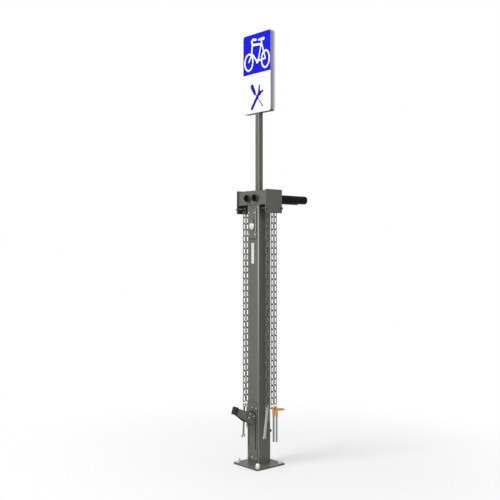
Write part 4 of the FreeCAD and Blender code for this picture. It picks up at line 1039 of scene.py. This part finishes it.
def floor_material(studio):
    """Pale floor that keeps the shadow near the object and runs out to white."""
    material = bpy.data.materials.new("studio_floor")
    material.use_nodes = True
    tree = material.node_tree
    g = Graph(tree)
    shader = tree.nodes["Principled BSDF"]
    seen = seen_share(g, studio.mirror)
    g.join(g.mix(seen, opaque(studio.bounce), opaque(studio.floor)), shader.inputs["Base Color"])
    shader.inputs["Roughness"].default_value = 0.6
    shader.inputs["Specular IOR Level"].default_value = 0.0
    shader.inputs["Emission Color"].default_value = WHITE
    g.join(g.math("MULTIPLY", seen, studio.glow), shader.inputs["Emission Strength"])
    white = g.add("Emission", {"Color": WHITE, "Strength": 1.0})
    reach = g.add("VectorMath", {0: g.place()}, operation="LENGTH").outputs["Value"]
    far = g.math("MULTIPLY", g.spread(reach, 0.4, 1.9), seen)
    blend = g.add("MixShader", {0: far, 1: shader.outputs[0], 2: white.outputs[0]})
    g.join(blend.outputs[0], tree.nodes["Material Output"].inputs["Surface"])
    return material


def studio_sky(studio):
    """Soft light from all round, which the camera sees as white."""
    world = bpy.data.worlds.new("studio_sky")
    world.use_nodes = True
    g = Graph(world.node_tree)
    level = g.split(g.add("TexCoord").outputs["Generated"])["Z"]
    soft = g.spread(level, 0.0, 1.0, studio.horizon, studio.sky)
    ground = world.node_tree.nodes["Background"]
    ground.inputs["Color"].default_value = WHITE
    g.join(g.math("MAXIMUM", soft, seen_share(g, studio.mirror)), ground.inputs["Strength"])
    return world


class STATION_OT_studio(StationOperator, Operator):
    """Sets the pale floor, the soft lamps, the sky and the camera"""
    bl_idname = "station.studio"
    bl_label = "Studio"

    def execute(self, context):
        scene, studio = context.scene, context.scene.repair_station.studio
        bm = bmesh.new()
        bmesh.ops.create_grid(bm, x_segments=8, y_segments=8, size=FLOOR_HALF)
        floor = mesh_object("studio_floor", bm, scene.collection)
        floor.data.materials.append(floor_material(studio))
        scene.world = studio_sky(studio)
        area_lamp("key_lamp", studio.key, **KEY_LAMP)
        area_lamp("strip_lamp", studio.strip, **STRIP_LAMP).visible_diffuse = False
        camera = bpy.data.cameras.new("photo_camera")
        camera.lens, camera.sensor_width, camera.clip_end = CAMERA_LENS, 36.0, 200.0
        view = bpy.data.objects.new("photo_camera", camera)
        view.location = CAMERA_PLACE
        ahead = Vector((-math.sin(CAMERA_YAW), math.cos(CAMERA_YAW), 0))
        view.rotation_euler = ahead.to_track_quat("-Z", "Y").to_euler()
        scene.collection.objects.link(view)
        scene.camera = view
        scene.view_settings.view_transform = "Standard"
        return {"FINISHED"}


OPERATORS = (STATION_OT_finishes, STATION_OT_sheets, STATION_OT_welds, STATION_OT_caps, STATION_OT_screws,
             STATION_OT_bar_nuts, STATION_OT_arms, STATION_OT_symbols, STATION_OT_chains, STATION_OT_tools,
             STATION_OT_hose, STATION_OT_studio)


class STATION_PT_panel(Panel):
    """Lists the steps in the order in which they run"""
    bl_idname = "STATION_PT_panel"
    bl_label = "Repair Station"
    bl_space_type = "VIEW_3D"
    bl_region_type = "UI"
    bl_category = "Repair Station"

    def draw(self, context):
        for operator in OPERATORS:
            self.layout.operator(operator.bl_idname)
        for name in StationSettings.__annotations__:
            box = self.layout.box()
            group = getattr(context.scene.repair_station, name)
            for key in type(group).__annotations__:
                box.prop(group, key)


CLASSES = (PaintSettings, MetalSettings, PlasticSettings, SignSettings, ScrewSettings, ChainSettings,
           StudioSettings, StationSettings) + OPERATORS + (STATION_PT_panel,)


def register():
    for item in CLASSES:
        bpy.utils.register_class(item)
    bpy.types.Scene.repair_station = PointerProperty(type=StationSettings)


def unregister():
    del bpy.types.Scene.repair_station
    for item in reversed(CLASSES):
        bpy.utils.unregister_class(item)


def main():
    register()
    for operator in OPERATORS:
        group, name = operator.bl_idname.split(".")
        getattr(getattr(bpy.ops, group), name)()
    bpy.context.view_layer.update()


if __name__ == "__main__":
    main()
